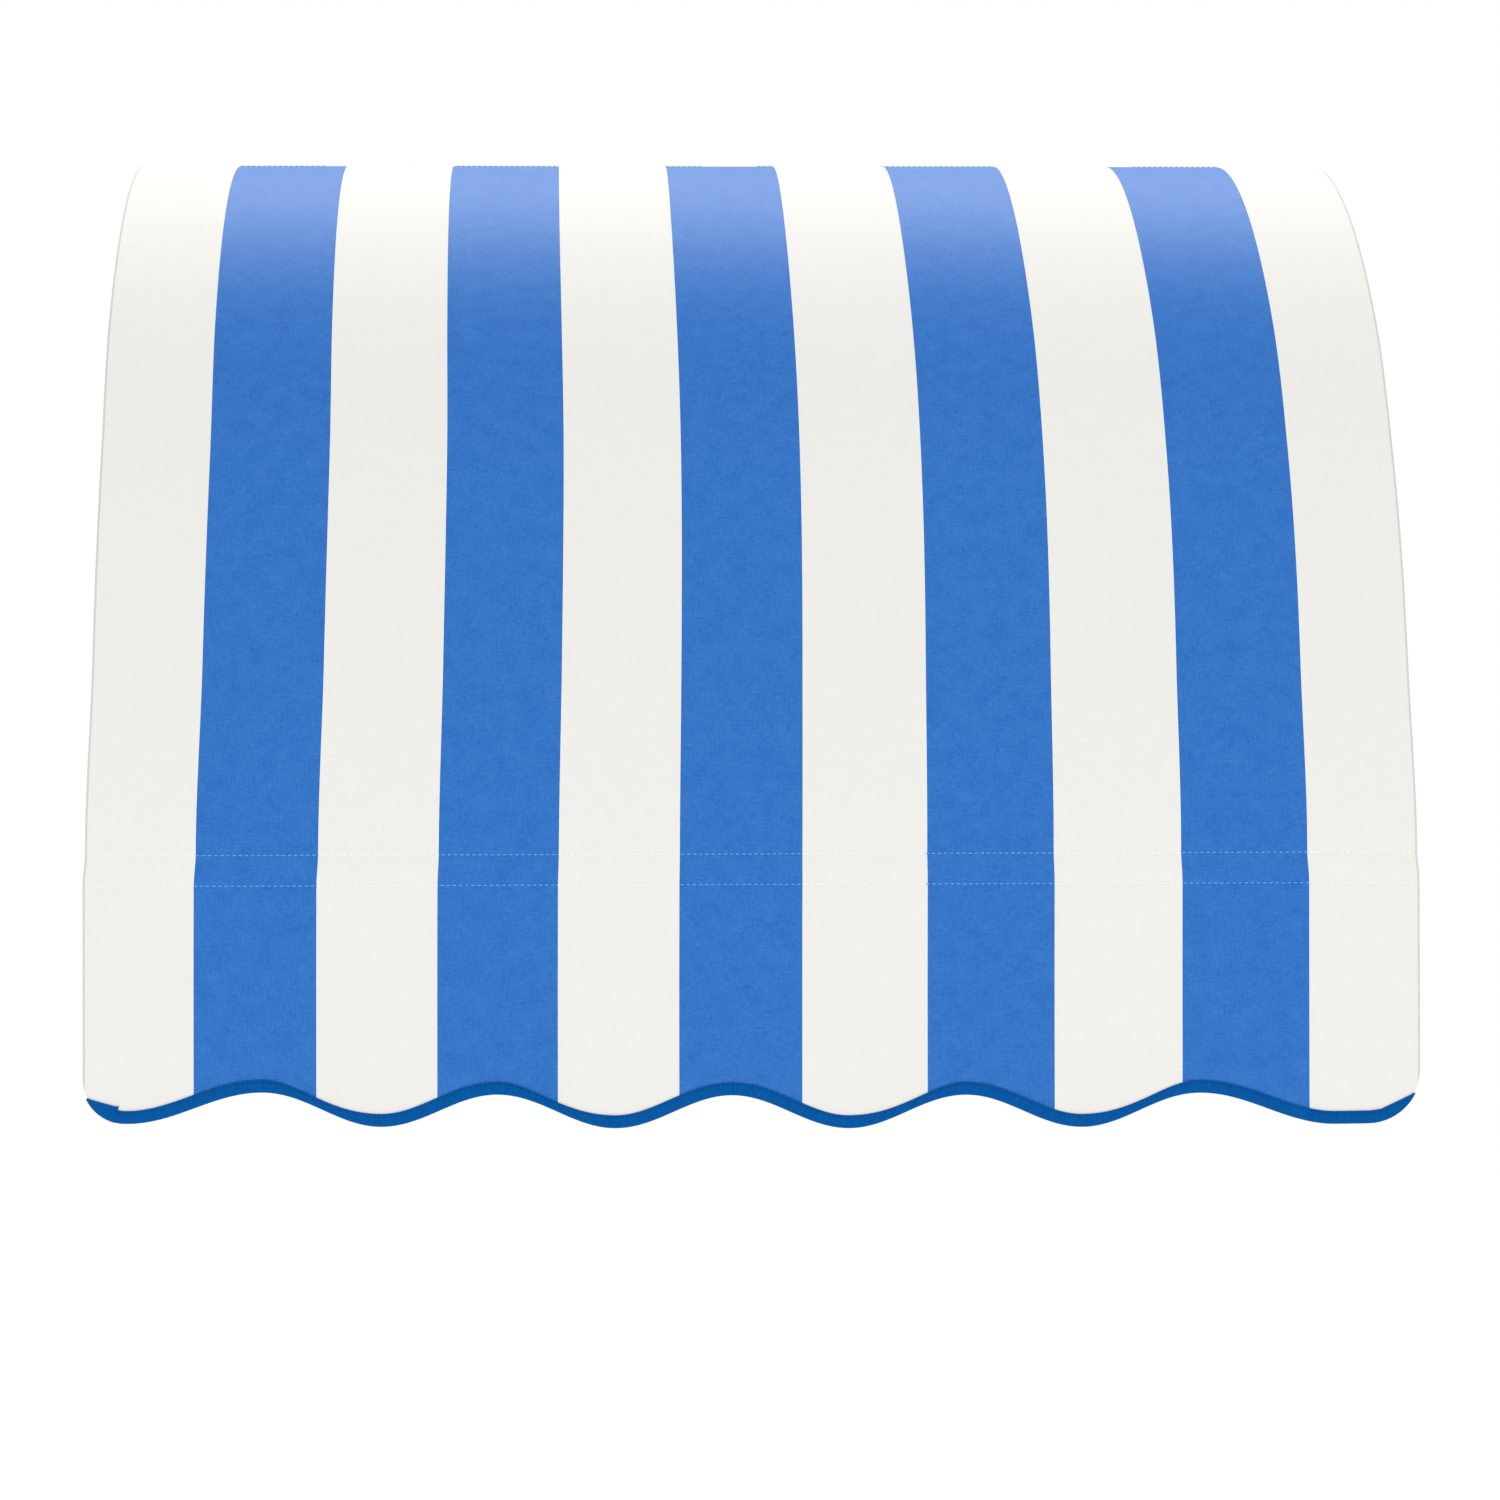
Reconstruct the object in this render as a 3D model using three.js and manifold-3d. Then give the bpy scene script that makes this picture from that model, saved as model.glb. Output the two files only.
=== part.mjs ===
// Quarter-round window awning on a bolted tube frame, in millimetres, +Z up.
// +X runs along the wall, -Y points away from it, and the wall is the plane y = 0. The origin is on
// the wall, at the height of the head bar's axis, in the middle of the middle head bracket's back.

import * as THREE from 'three';
import { mergeVertices } from 'three/addons/utils/BufferGeometryUtils.js';
import Module from 'manifold-3d';

const wasm = await Module();
wasm.setup();

// Overall size
const WIDTH = 1028.7;               // of the cloth
const PROJECTION = 609.6;           // wall to the front face of the cloth, and the cloth's arc radius
const DROP = 199.4;                 // front bar axis to the lowest point of the valance

// Cloth
const CLOTH = 1.0;                  // thickness of the panel with its coating
const CLOTH_GAP = 0.5;              // cloth to the tubes under it
const SIDE_TUCK = 3.4;              // how far the cover's sides draw in above the valance
const TUCK_HEIGHT = 12;             // height over which they do
const SCALLOP_PITCH = 180;
const SCALLOP_DEPTH = 25.4;
const SCALLOP_SHIFT = -16;          // the wave was cut a little off centre
const INNER_ARCHES = 2;             // arches on each side of the middle one
const END_HALF_WAVE = 106;          // the last half wave at each end is longer
const CORNER_RADIUS = 28;
const BINDING_WIDTH = 10;
const TAPE = 0.8;                   // thickness of the binding tape
const BINDING_RISE = 22;            // height of the binding's ends above its lowest line

// Tubes
const TUBE_R = 11.1;                // head bar, ribs and arms
const FRONT_R = 9.5;
const CROSS_R = 8;
const TUBE_WALL = 1.2;
const CROSS_WALL = 1.0;
const CROSS_ANGLES = [22.5, 45, 67.5];
const CROSS_NAMES = ['low', 'middle', 'high'];

// Joints of the frame
const GAP = 0.3;                    // between pieces that touch
const RIB_X = 496;
const RIB_END_GAP = 0.9;            // a rib's square end to the collar of its tilted eye
const LUG = 5;                      // thickness of an eye's lug
const LUG_R = 9.5;
const EYE_COLLAR_START = 14;        // from the bolt axis
const EYE_COLLAR = 3;
const EYE_PLUG = 18;
const PLUG_FIT = 0.8;               // radial play of a plug in its tube
const BOLT_R = 4;
const BOLT_HOLE_R = 4.4;
const HEX_R = 7.5;
const BOLT_HEAD = 5.3;
const SCREW_R = 2.1;
const SCREW_HOLE_R = 2.5;
const SCREW_HEAD_R = 4.5;
const SCREW_HEAD = 2.2;
const INSERT_LENGTH = 30;
const INSERT_FLANGE = 2;
const CROSS_PLUG = 20;

// Wall brackets
const PLATE = 3;
const HEAD_BRACKET_X = [-330, 0, 330];
const HEAD_BRACKET_NAMES = ['left', 'middle', 'right'];
const HEAD_BRACKET_WIDTH = 40;
const HEAD_PLATE_TOP = 5;
const HEAD_PLATE_BOTTOM = -55;
const HEAD_HOLE_X = 11;
const HEAD_HOLE_Z = -38;
const WALL_HOLE_R = 3.6;
const FOOT_BRACKET_WIDTH = 46;
const FOOT_BRACKET_HEIGHT = 70;
const FOOT_HOLE_Z = 25;
const FOOT_AXIS_Y = -20;
const EAR = 3;
const EAR_R = 11;
const NUT = 6.5;

// Pockets and straps
const POCKET_HALF_WIDTH = 476;
const NOTCH_MARGIN = 3;
const STITCH_OFFSET = 11.75;        // bar pocket's stitch lines, above and below the bar's axis
const POCKET_HEM = 3;
const HEAD_FLAP = 45;               // along the arc, from the head bar to the pocket's seam
const FLAP_HEM = 12;
const STRAP_ANGLES = [12, 34, 79];
const STRAP_NAMES = ['low', 'middle', 'high'];
const STRAP_WIDTH = 20;
const STRAP = 1;
const STRAP_SLACK = 0.8;            // room under the rib

// Fineness
const TUBE_SIDES = 12;
const ARC_STEPS = 48;
const NOTCH_STEP = 43;              // the arc's step where the head pocket's notches begin
const RIB_STEPS = 20;
const WAVE_STEPS = 12;              // in each pitch of the scallops
const END_STEPS = 7;
const CORNER_STEPS = 6;
const BEND_STEPS = 10;

// Worked out
const INNER_RADIUS = PROJECTION - CLOTH;
const RIB_RADIUS = INNER_RADIUS - CLOTH_GAP - TUBE_R;
const HEAD_Y = -(PLATE + GAP + TUBE_R);
const HEAD_ANGLE = Math.acos(-HEAD_Y / RIB_RADIUS);
const ARC_Z = -RIB_RADIUS * Math.sin(HEAD_ANGLE);
const FRONT_Y = -(INNER_RADIUS - CLOTH_GAP - FRONT_R);
const EYE_REACH = EYE_COLLAR_START + EYE_COLLAR;
const ARM_X = RIB_X - LUG - GAP;
const INNER_REACH = INNER_ARCHES * SCALLOP_PITCH;
const FOLD = TAPE + GAP;            // how far the binding stands out round the cloth's edge

const steel = { color: 0xa9adb0, roughness: 0.42, metalness: 0.9 };
const plate = { color: 0x9da1a5, roughness: 0.48, metalness: 0.9 };
const zinc = { color: 0xc3c6c8, roughness: 0.3, metalness: 1 };
const cast = { color: 0x8f9396, roughness: 0.55, metalness: 0.8 };
const nylon = { color: 0x1b1c1e, roughness: 0.6, metalness: 0 };
const cloth = { color: 0xf0efeb, roughness: 0.9, metalness: 0 };
const tape = { color: 0x1059a1, roughness: 0.85, metalness: 0 };
const webbing = { color: 0xe4e3de, roughness: 0.9, metalness: 0 };

const awning = new THREE.Group();

function add(name, geometry, look, position = [0, 0, 0], rotation = [0, 0, 0]) {
  const mesh = new THREE.Mesh(geometry, new THREE.MeshStandardMaterial(look));
  mesh.name = name;
  mesh.position.set(...position);
  mesh.rotation.set(...rotation);
  awning.add(mesh);
}

// Solids

function toSolid(geometry) {
  let bare = geometry.index ? geometry.toNonIndexed() : geometry.clone();
  bare.deleteAttribute('normal');
  bare.deleteAttribute('uv');
  bare = mergeVertices(bare, 1e-4);
  const kept = [];
  for (let i = 0; i < bare.index.count; i += 3) {
    const corners = [0, 1, 2].map((k) => bare.index.getX(i + k));
    if (new Set(corners).size === 3) kept.push(...corners);
  }
  return new wasm.Manifold(new wasm.Mesh({
    numProp: 3,
    vertProperties: new Float32Array(bare.attributes.position.array),
    triVerts: new Uint32Array(kept),
  }));
}

function toGeometry(solid) {
  const mesh = solid.getMesh();
  const geometry = new THREE.BufferGeometry();
  geometry.setAttribute('position', new THREE.BufferAttribute(mesh.vertProperties, 3));
  geometry.setIndex(new THREE.BufferAttribute(mesh.triVerts, 1));
  return geometry;
}

function join(...pieces) {
  return toGeometry(pieces.map(toSolid).reduce((whole, piece) => whole.add(piece)));
}

function cut(body, ...tools) {
  return toGeometry(tools.map(toSolid).reduce((rest, tool) => rest.subtract(tool), toSolid(body)));
}

function block(low, high) {
  const size = high.map((value, i) => value - low[i]);
  const middle = high.map((value, i) => (value + low[i]) / 2);
  return new THREE.BoxGeometry(...size).translate(...middle);
}

function circle(radius, inner = 0) {
  const shape = new THREE.Shape();
  shape.absarc(0, 0, radius, 0, 2 * Math.PI, false);
  if (inner > 0) {
    const hole = new THREE.Path();
    hole.absarc(0, 0, inner, 0, 2 * Math.PI, true);
    shape.holes.push(hole);
  }
  return shape;
}

function extrude(shape, depth) {
  return new THREE.ExtrudeGeometry(shape, { depth, bevelEnabled: false, curveSegments: TUBE_SIDES / 2 });
}

// A section drawn in (y, z), from x0 to x1.
function alongX(shape, x0, x1) {
  const turn = new THREE.Matrix4().makeBasis(
    new THREE.Vector3(0, 1, 0), new THREE.Vector3(0, 0, 1), new THREE.Vector3(1, 0, 0));
  return extrude(shape, x1 - x0).applyMatrix4(turn).translate(x0, 0, 0);
}

// A round section along Y, from y0 to y1.
function alongY(shape, y0, y1) {
  return extrude(shape, y1 - y0).rotateX(-Math.PI / 2).translate(0, y0, 0);
}

// An outline drawn in (x, z), from the plane y = front back to y = back.
function upright(shape, front, back) {
  return extrude(shape, back - front).rotateX(Math.PI / 2).translate(0, back, 0);
}

// A round rod along X at (y, z).
function rodX(radius, x0, x1, y = 0, z = 0) {
  return alongX(circle(radius), x0, x1).translate(0, y, z);
}

// A strip of the given thickness whose middle line goes through these points.
function ribbon(points, thickness) {
  const sides = [[], []];
  points.forEach((point, i) => {
    const before = points[Math.max(i - 1, 0)];
    const after = points[Math.min(i + 1, points.length - 1)];
    const into = point.clone().sub(before).normalize();
    const out = after.clone().sub(point).normalize();
    const along = into.lengthSq() === 0 ? out : out.lengthSq() === 0 ? into : into.clone().add(out);
    along.normalize();
    const reach = thickness / 2 / Math.max(along.dot(out.lengthSq() ? out : into), 0.5);
    const across = new THREE.Vector2(-along.y, along.x).multiplyScalar(reach);
    sides[0].push(point.clone().add(across));
    sides[1].unshift(point.clone().sub(across));
  });
  return new THREE.Shape([...sides[0], ...sides[1]]);
}

// Points on a circle, from one angle to another, in radians.
function bend(centre, radius, from, to, steps) {
  return Array.from({ length: steps + 1 }, (_, i) => {
    const angle = from + (to - from) * i / steps;
    return new THREE.Vector2(
      centre.x + radius * Math.cos(angle), centre.y + radius * Math.sin(angle));
  });
}

// The cover's arc: a place at an angle from the front bar's level and a distance from its centre.
function onArc(radius, angle) {
  return new THREE.Vector2(-radius * Math.cos(angle), ARC_Z + radius * Math.sin(angle));
}

class RibPath extends THREE.Curve {
  getPoint(t, target = new THREE.Vector3()) {
    const first = (EYE_REACH + RIB_END_GAP) / RIB_RADIUS;
    const last = HEAD_ANGLE - first;
    const place = onArc(RIB_RADIUS, first + (last - first) * t);
    return target.set(0, place.x, place.y);
  }
}

// Cloth

const HEAD = new THREE.Vector2(HEAD_Y, 0);
const FRONT = new THREE.Vector2(FRONT_Y, ARC_Z);

// Where the wave is drawn, from its own middle: even steps, then finer ones over each end's half wave.
function edgePlaces() {
  const steps = 2 * INNER_ARCHES * WAVE_STEPS;
  const middle = Array.from(
    { length: steps + 1 }, (_, i) => INNER_REACH * (2 * i / steps - 1));
  const end = Array.from(
    { length: END_STEPS }, (_, i) => INNER_REACH + END_HALF_WAVE * (i + 1) / END_STEPS);
  return [...end.map((u) => -u).reverse(), ...middle, ...end];
}

// The cloth's cut edge from the left side to the right one, drawn inwards by inset.
function edgePoints(inset) {
  const half = WIDTH / 2;
  const bottom = ARC_Z - DROP + FOLD;
  const cornerZ = bottom + CORNER_RADIUS;
  const cornerX = half - CORNER_RADIUS;
  const radius = CORNER_RADIUS - inset;
  const left = new THREE.Vector2(-cornerX, cornerZ);
  const right = new THREE.Vector2(cornerX, cornerZ);
  const points = bend(left, radius, Math.PI, 1.5 * Math.PI, CORNER_STEPS);
  for (const u of edgePlaces()) {
    const past = Math.max(Math.abs(u) - INNER_REACH, 0);
    const length = past > 0 ? END_HALF_WAVE : SCALLOP_PITCH / 2;
    const phase = Math.PI * (past > 0 ? past : Math.abs(u)) / length;
    const rise = SCALLOP_DEPTH / 2 * (1 + Math.cos(phase));
    const slope = -Math.sign(u) * SCALLOP_DEPTH / 2 * Math.sin(phase) * Math.PI / length;
    const normal = new THREE.Vector2(-slope, 1).normalize().multiplyScalar(inset);
    points.push(new THREE.Vector2(u + SCALLOP_SHIFT + normal.x, bottom + rise + normal.y));
  }
  points.push(...bend(right, radius, 1.5 * Math.PI, 2 * Math.PI, CORNER_STEPS));
  return points;
}

// The panel hanging below the front bar, drawn in at its cut edge by inset.
function valanceShape(inset) {
  const upper = WIDTH / 2 - SIDE_TUCK;
  const lower = WIDTH / 2 - inset;
  return new THREE.Shape([
    new THREE.Vector2(upper, ARC_Z),
    new THREE.Vector2(-upper, ARC_Z),
    new THREE.Vector2(-lower, ARC_Z - TUCK_HEIGHT),
    ...edgePoints(inset),
    new THREE.Vector2(lower, ARC_Z - TUCK_HEIGHT),
  ]);
}

// The cover's section: up the front, over the arc, round the head bar and back under it to a seam.
function coverSection() {
  const middle = PROJECTION - CLOTH / 2;
  const loop = TUBE_R + CLOTH_GAP + CLOTH / 2;
  const points = [new THREE.Vector2(-middle, ARC_Z - TUCK_HEIGHT / 2)];
  for (let i = 0; i <= ARC_STEPS; i += 1) points.push(onArc(middle, HEAD_ANGLE * i / ARC_STEPS));
  const under = INNER_RADIUS - GAP - CLOTH / 2;
  const seam = onArc(under, HEAD_ANGLE - HEAD_FLAP / RIB_RADIUS);
  const hem = onArc(under, HEAD_ANGLE - (HEAD_FLAP + FLAP_HEM) / RIB_RADIUS);
  const towards = seam.clone().sub(HEAD);
  const leave = towards.angle() + Math.acos(loop / towards.length()) - 2 * Math.PI;
  points.push(...bend(HEAD, loop, Math.PI - HEAD_ANGLE, leave, BEND_STEPS).slice(1));
  points.push(seam, hem);
  return ribbon(points, CLOTH);
}

// What a notch takes away from the head pocket: all that lies under the cover's top sheet.
function pocketNotch(x0, x1) {
  const radius = INNER_RADIUS - GAP / 2;
  const top = [];
  for (let i = NOTCH_STEP; i <= ARC_STEPS; i += 1) top.push(onArc(radius, HEAD_ANGLE * i / ARC_STEPS));
  return alongX(new THREE.Shape([
    ...top,
    new THREE.Vector2(1, top.at(-1).y),
    new THREE.Vector2(1, HEAD_PLATE_BOTTOM),
    new THREE.Vector2(top[0].x, HEAD_PLATE_BOTTOM),
  ]), x0, x1);
}

function canopyCloth() {
  const half = WIDTH / 2 - SIDE_TUCK;
  const panel = join(
    alongX(coverSection(), -half, half), upright(valanceShape(0), -PROJECTION, -INNER_RADIUS));
  const reach = HEAD_BRACKET_WIDTH / 2 + NOTCH_MARGIN;
  return cut(
    panel, ...HEAD_BRACKET_X.map((x) => pocketNotch(x - reach, x + reach)),
    pocketNotch(-WIDTH, -POCKET_HALF_WIDTH), pocketNotch(POCKET_HALF_WIDTH, WIDTH));
}

function barPocket() {
  const flat = -INNER_RADIUS + GAP + CLOTH / 2;
  const wrap = FRONT_R + CLOTH_GAP + CLOTH / 2;
  const points = [
    new THREE.Vector2(flat, ARC_Z + STITCH_OFFSET + POCKET_HEM),
    new THREE.Vector2(flat, ARC_Z + STITCH_OFFSET),
    ...bend(FRONT, wrap, THREE.MathUtils.degToRad(84), THREE.MathUtils.degToRad(-84), BEND_STEPS),
    new THREE.Vector2(flat, ARC_Z - STITCH_OFFSET),
    new THREE.Vector2(flat, ARC_Z - STITCH_OFFSET - POCKET_HEM),
  ];
  return alongX(ribbon(points, CLOTH), -POCKET_HALF_WIDTH, POCKET_HALF_WIDTH);
}

// A folded tape: a band along the edge, hollowed for the cloth inside it.
function edgeBinding() {
  const top = ARC_Z - DROP + BINDING_RISE;
  const outside = edgePoints(-FOLD).filter((point) => point.y < top);
  const inside = edgePoints(BINDING_WIDTH - FOLD).slice(CORNER_STEPS, -CORNER_STEPS).reverse();
  const band = upright(
    new THREE.Shape([...outside, ...inside]), -PROJECTION - FOLD, -INNER_RADIUS + FOLD);
  const room = upright(valanceShape(-GAP), -PROJECTION - GAP, -INNER_RADIUS + GAP);
  return cut(band, room);
}

// Frame pieces

function tubeX(radius, wall, halfLength) {
  return alongX(circle(radius, radius - wall), -halfLength, halfLength);
}

function rib() {
  const tube = new THREE.ExtrudeGeometry(circle(TUBE_R, TUBE_R - TUBE_WALL), {
    steps: RIB_STEPS, extrudePath: new RibPath(), bevelEnabled: false, curveSegments: TUBE_SIDES / 2,
  });
  const holes = CROSS_ANGLES.map((degrees) => {
    const place = crossPlace(degrees);
    return rodX(SCREW_HOLE_R, -2 * TUBE_R, 2 * TUBE_R, place.x, place.y);
  });
  return cut(tube, ...holes);
}

function crossPlace(degrees) {
  const radius = INNER_RADIUS - CLOTH_GAP - CROSS_R;
  return onArc(radius, THREE.MathUtils.degToRad(degrees));
}

// An eye end: a lug on the bolt axis, with a collar and a plug that goes up the tube along +Z.
function eyeEnd(stemOffset) {
  const lug = new THREE.Shape();
  lug.absarc(0, 0, LUG_R, 0, 2 * Math.PI, false);
  const neck = new THREE.Shape([
    new THREE.Vector2(-LUG_R + 1.5, 0),
    new THREE.Vector2(LUG_R - 1.5, 0),
    new THREE.Vector2(stemOffset + LUG_R - 1.5, EYE_COLLAR_START + 1),
    new THREE.Vector2(stemOffset - LUG_R + 1.5, EYE_COLLAR_START + 1),
  ]);
  const plugR = TUBE_R - TUBE_WALL - PLUG_FIT;
  const stem = new THREE.LatheGeometry([
    new THREE.Vector2(0, EYE_COLLAR_START),
    new THREE.Vector2(TUBE_R, EYE_COLLAR_START),
    new THREE.Vector2(TUBE_R, EYE_REACH),
    new THREE.Vector2(plugR, EYE_REACH),
    new THREE.Vector2(plugR, EYE_REACH + EYE_PLUG),
    new THREE.Vector2(0, EYE_REACH + EYE_PLUG),
  ], TUBE_SIDES).rotateX(Math.PI / 2).translate(0, stemOffset, 0);
  const whole = join(alongX(lug, -LUG / 2, LUG / 2), alongX(neck, -LUG / 2, LUG / 2), stem);
  return cut(whole, rodX(BOLT_HOLE_R, -LUG, LUG));
}

// An eye on the rib's end, its stem touching the rib's arc where the plug's middle lies.
function addRibEye(name, side, bolt, towardsTop) {
  const reach = (EYE_REACH + EYE_PLUG / 2) / RIB_RADIUS;
  const angle = towardsTop ? reach : HEAD_ANGLE - reach;
  const tilt = towardsTop ? -angle : Math.PI - angle;
  const across = new THREE.Vector2(Math.cos(tilt), Math.sin(tilt));
  const offset = onArc(RIB_RADIUS, angle).sub(bolt).dot(across);
  add(name, eyeEnd(offset), cast, [side * RIB_X, bolt.x, bolt.y], [tilt, 0, 0]);
}

function threadedInsert(tubeR) {
  const body = tubeR - TUBE_WALL - PLUG_FIT;
  return new THREE.LatheGeometry([
    new THREE.Vector2(BOLT_HOLE_R, 0),
    new THREE.Vector2(tubeR, 0),
    new THREE.Vector2(tubeR, -INSERT_FLANGE),
    new THREE.Vector2(body, -INSERT_FLANGE),
    new THREE.Vector2(body, -INSERT_LENGTH),
    new THREE.Vector2(BOLT_HOLE_R, -INSERT_LENGTH),
    new THREE.Vector2(BOLT_HOLE_R, 0),
  ].reverse(), TUBE_SIDES).rotateZ(-Math.PI / 2);
}

// A hex bolt along -X, its head on the +X side of x = 0.
function hexBolt(length) {
  const head = new THREE.CylinderGeometry(HEX_R, HEX_R, BOLT_HEAD, 6)
    .rotateZ(-Math.PI / 2).translate(BOLT_HEAD / 2, 0, 0);
  return join(head, rodX(BOLT_R, -length, 1));
}

function hexNut() {
  const body = new THREE.CylinderGeometry(HEX_R, HEX_R, NUT, 6).rotateZ(-Math.PI / 2);
  return cut(body, rodX(BOLT_HOLE_R, -NUT, NUT));
}

// A screw along -X, its head on the +X side of x = 0.
function screw(length) {
  return new THREE.LatheGeometry([
    new THREE.Vector2(0, -length),
    new THREE.Vector2(SCREW_R, -length),
    new THREE.Vector2(SCREW_R, 0),
    new THREE.Vector2(SCREW_HEAD_R, 0),
    new THREE.Vector2(SCREW_HEAD_R * 0.8, SCREW_HEAD),
    new THREE.Vector2(0, SCREW_HEAD),
  ], TUBE_SIDES / 2).rotateZ(-Math.PI / 2);
}

function crossPlug() {
  const radius = CROSS_R - CROSS_WALL - PLUG_FIT;
  return alongX(circle(radius, SCREW_HOLE_R), -CROSS_PLUG, 0);
}

function wallHole(x, z) {
  return alongY(circle(WALL_HOLE_R), -2 * PLATE, PLATE).translate(x, 0, z);
}

function headBracket() {
  const half = HEAD_BRACKET_WIDTH / 2;
  const back = block([-half, -PLATE, HEAD_PLATE_BOTTOM], [half, 0, HEAD_PLATE_TOP]);
  const middle = TUBE_R + GAP + PLATE / 2;
  const saddle = ribbon(
    bend(HEAD, middle, THREE.MathUtils.degToRad(-20), THREE.MathUtils.degToRad(-200), BEND_STEPS),
    PLATE);
  const lockHole = new THREE.CylinderGeometry(SCREW_HOLE_R, SCREW_HOLE_R, 4 * PLATE, TUBE_SIDES / 2)
    .rotateX(Math.PI / 2).translate(0, HEAD_Y, -middle);
  return cut(
    join(back, alongX(saddle, -half, half)),
    lockHole, wallHole(-HEAD_HOLE_X, HEAD_HOLE_Z), wallHole(HEAD_HOLE_X, HEAD_HOLE_Z));
}

function headBar() {
  const half = RIB_X - LUG / 2 - GAP - INSERT_FLANGE - GAP;
  const holes = HEAD_BRACKET_X.map((x) => new THREE.CylinderGeometry(
    SCREW_HOLE_R, SCREW_HOLE_R, TUBE_R, TUBE_SIDES / 2).rotateX(Math.PI / 2).translate(x, 0, -TUBE_R));
  return cut(tubeX(TUBE_R, TUBE_WALL, half), ...holes);
}

function footBracket() {
  const back = block(
    [-FOOT_BRACKET_WIDTH / 2, -PLATE, -FOOT_BRACKET_HEIGHT / 2],
    [FOOT_BRACKET_WIDTH / 2, 0, FOOT_BRACKET_HEIGHT / 2]);
  const ear = new THREE.Shape();
  ear.moveTo(-1, -EAR_R);
  ear.lineTo(-1, EAR_R);
  ear.lineTo(FOOT_AXIS_Y, EAR_R);
  ear.absarc(FOOT_AXIS_Y, 0, EAR_R, Math.PI / 2, 1.5 * Math.PI, false);
  ear.closePath();
  const inner = LUG / 2 + GAP;
  const whole = join(back, alongX(ear, inner, inner + EAR), alongX(ear, -inner - EAR, -inner));
  return cut(
    whole, rodX(BOLT_HOLE_R, -EAR_R, EAR_R, FOOT_AXIS_Y),
    wallHole(0, FOOT_HOLE_Z), wallHole(0, -FOOT_HOLE_Z));
}

// A loop under the rib, its ends up against the side hem.
function sideStrap() {
  const middle = TUBE_R + GAP + STRAP / 2;
  const top = TUBE_R - GAP;
  const points = [
    new THREE.Vector2(-middle, top),
    ...bend(new THREE.Vector2(0, -STRAP_SLACK), middle, Math.PI, 2 * Math.PI, BEND_STEPS),
    new THREE.Vector2(middle, top),
  ];
  return extrude(ribbon(points, STRAP), STRAP_WIDTH)
    .translate(0, 0, -STRAP_WIDTH / 2).rotateX(Math.PI / 2);
}

// Assembly

const SIDES = [['left', -1], ['right', 1]];
const turned = (side) => [0, 0, side < 0 ? Math.PI : 0];

add('canopy_cloth', canopyCloth(), cloth);
add('bar_pocket', barPocket(), cloth);
add('edge_binding', edgeBinding(), tape);

add('head_bar', headBar(), steel, [0, HEAD_Y, 0]);
add('front_bar', tubeX(FRONT_R, TUBE_WALL, ARM_X - LUG / 2 - GAP - INSERT_FLANGE - GAP), steel,
  [0, FRONT_Y, ARC_Z]);

HEAD_BRACKET_X.forEach((x, i) => {
  add(`head_bracket_${HEAD_BRACKET_NAMES[i]}`, headBracket(), plate, [x, 0, 0]);
  add(`head_lock_screw_${HEAD_BRACKET_NAMES[i]}`, screw(8), zinc,
    [x, HEAD_Y, -(TUBE_R + 2 * GAP + PLATE)], [0, Math.PI / 2, 0]);
});

const crossHalf = RIB_X - TUBE_R - GAP;
CROSS_ANGLES.forEach((degrees, i) => {
  const place = crossPlace(degrees);
  add(`cross_bar_${CROSS_NAMES[i]}`, tubeX(CROSS_R, CROSS_WALL, crossHalf), steel,
    [0, place.x, place.y]);
});

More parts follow.
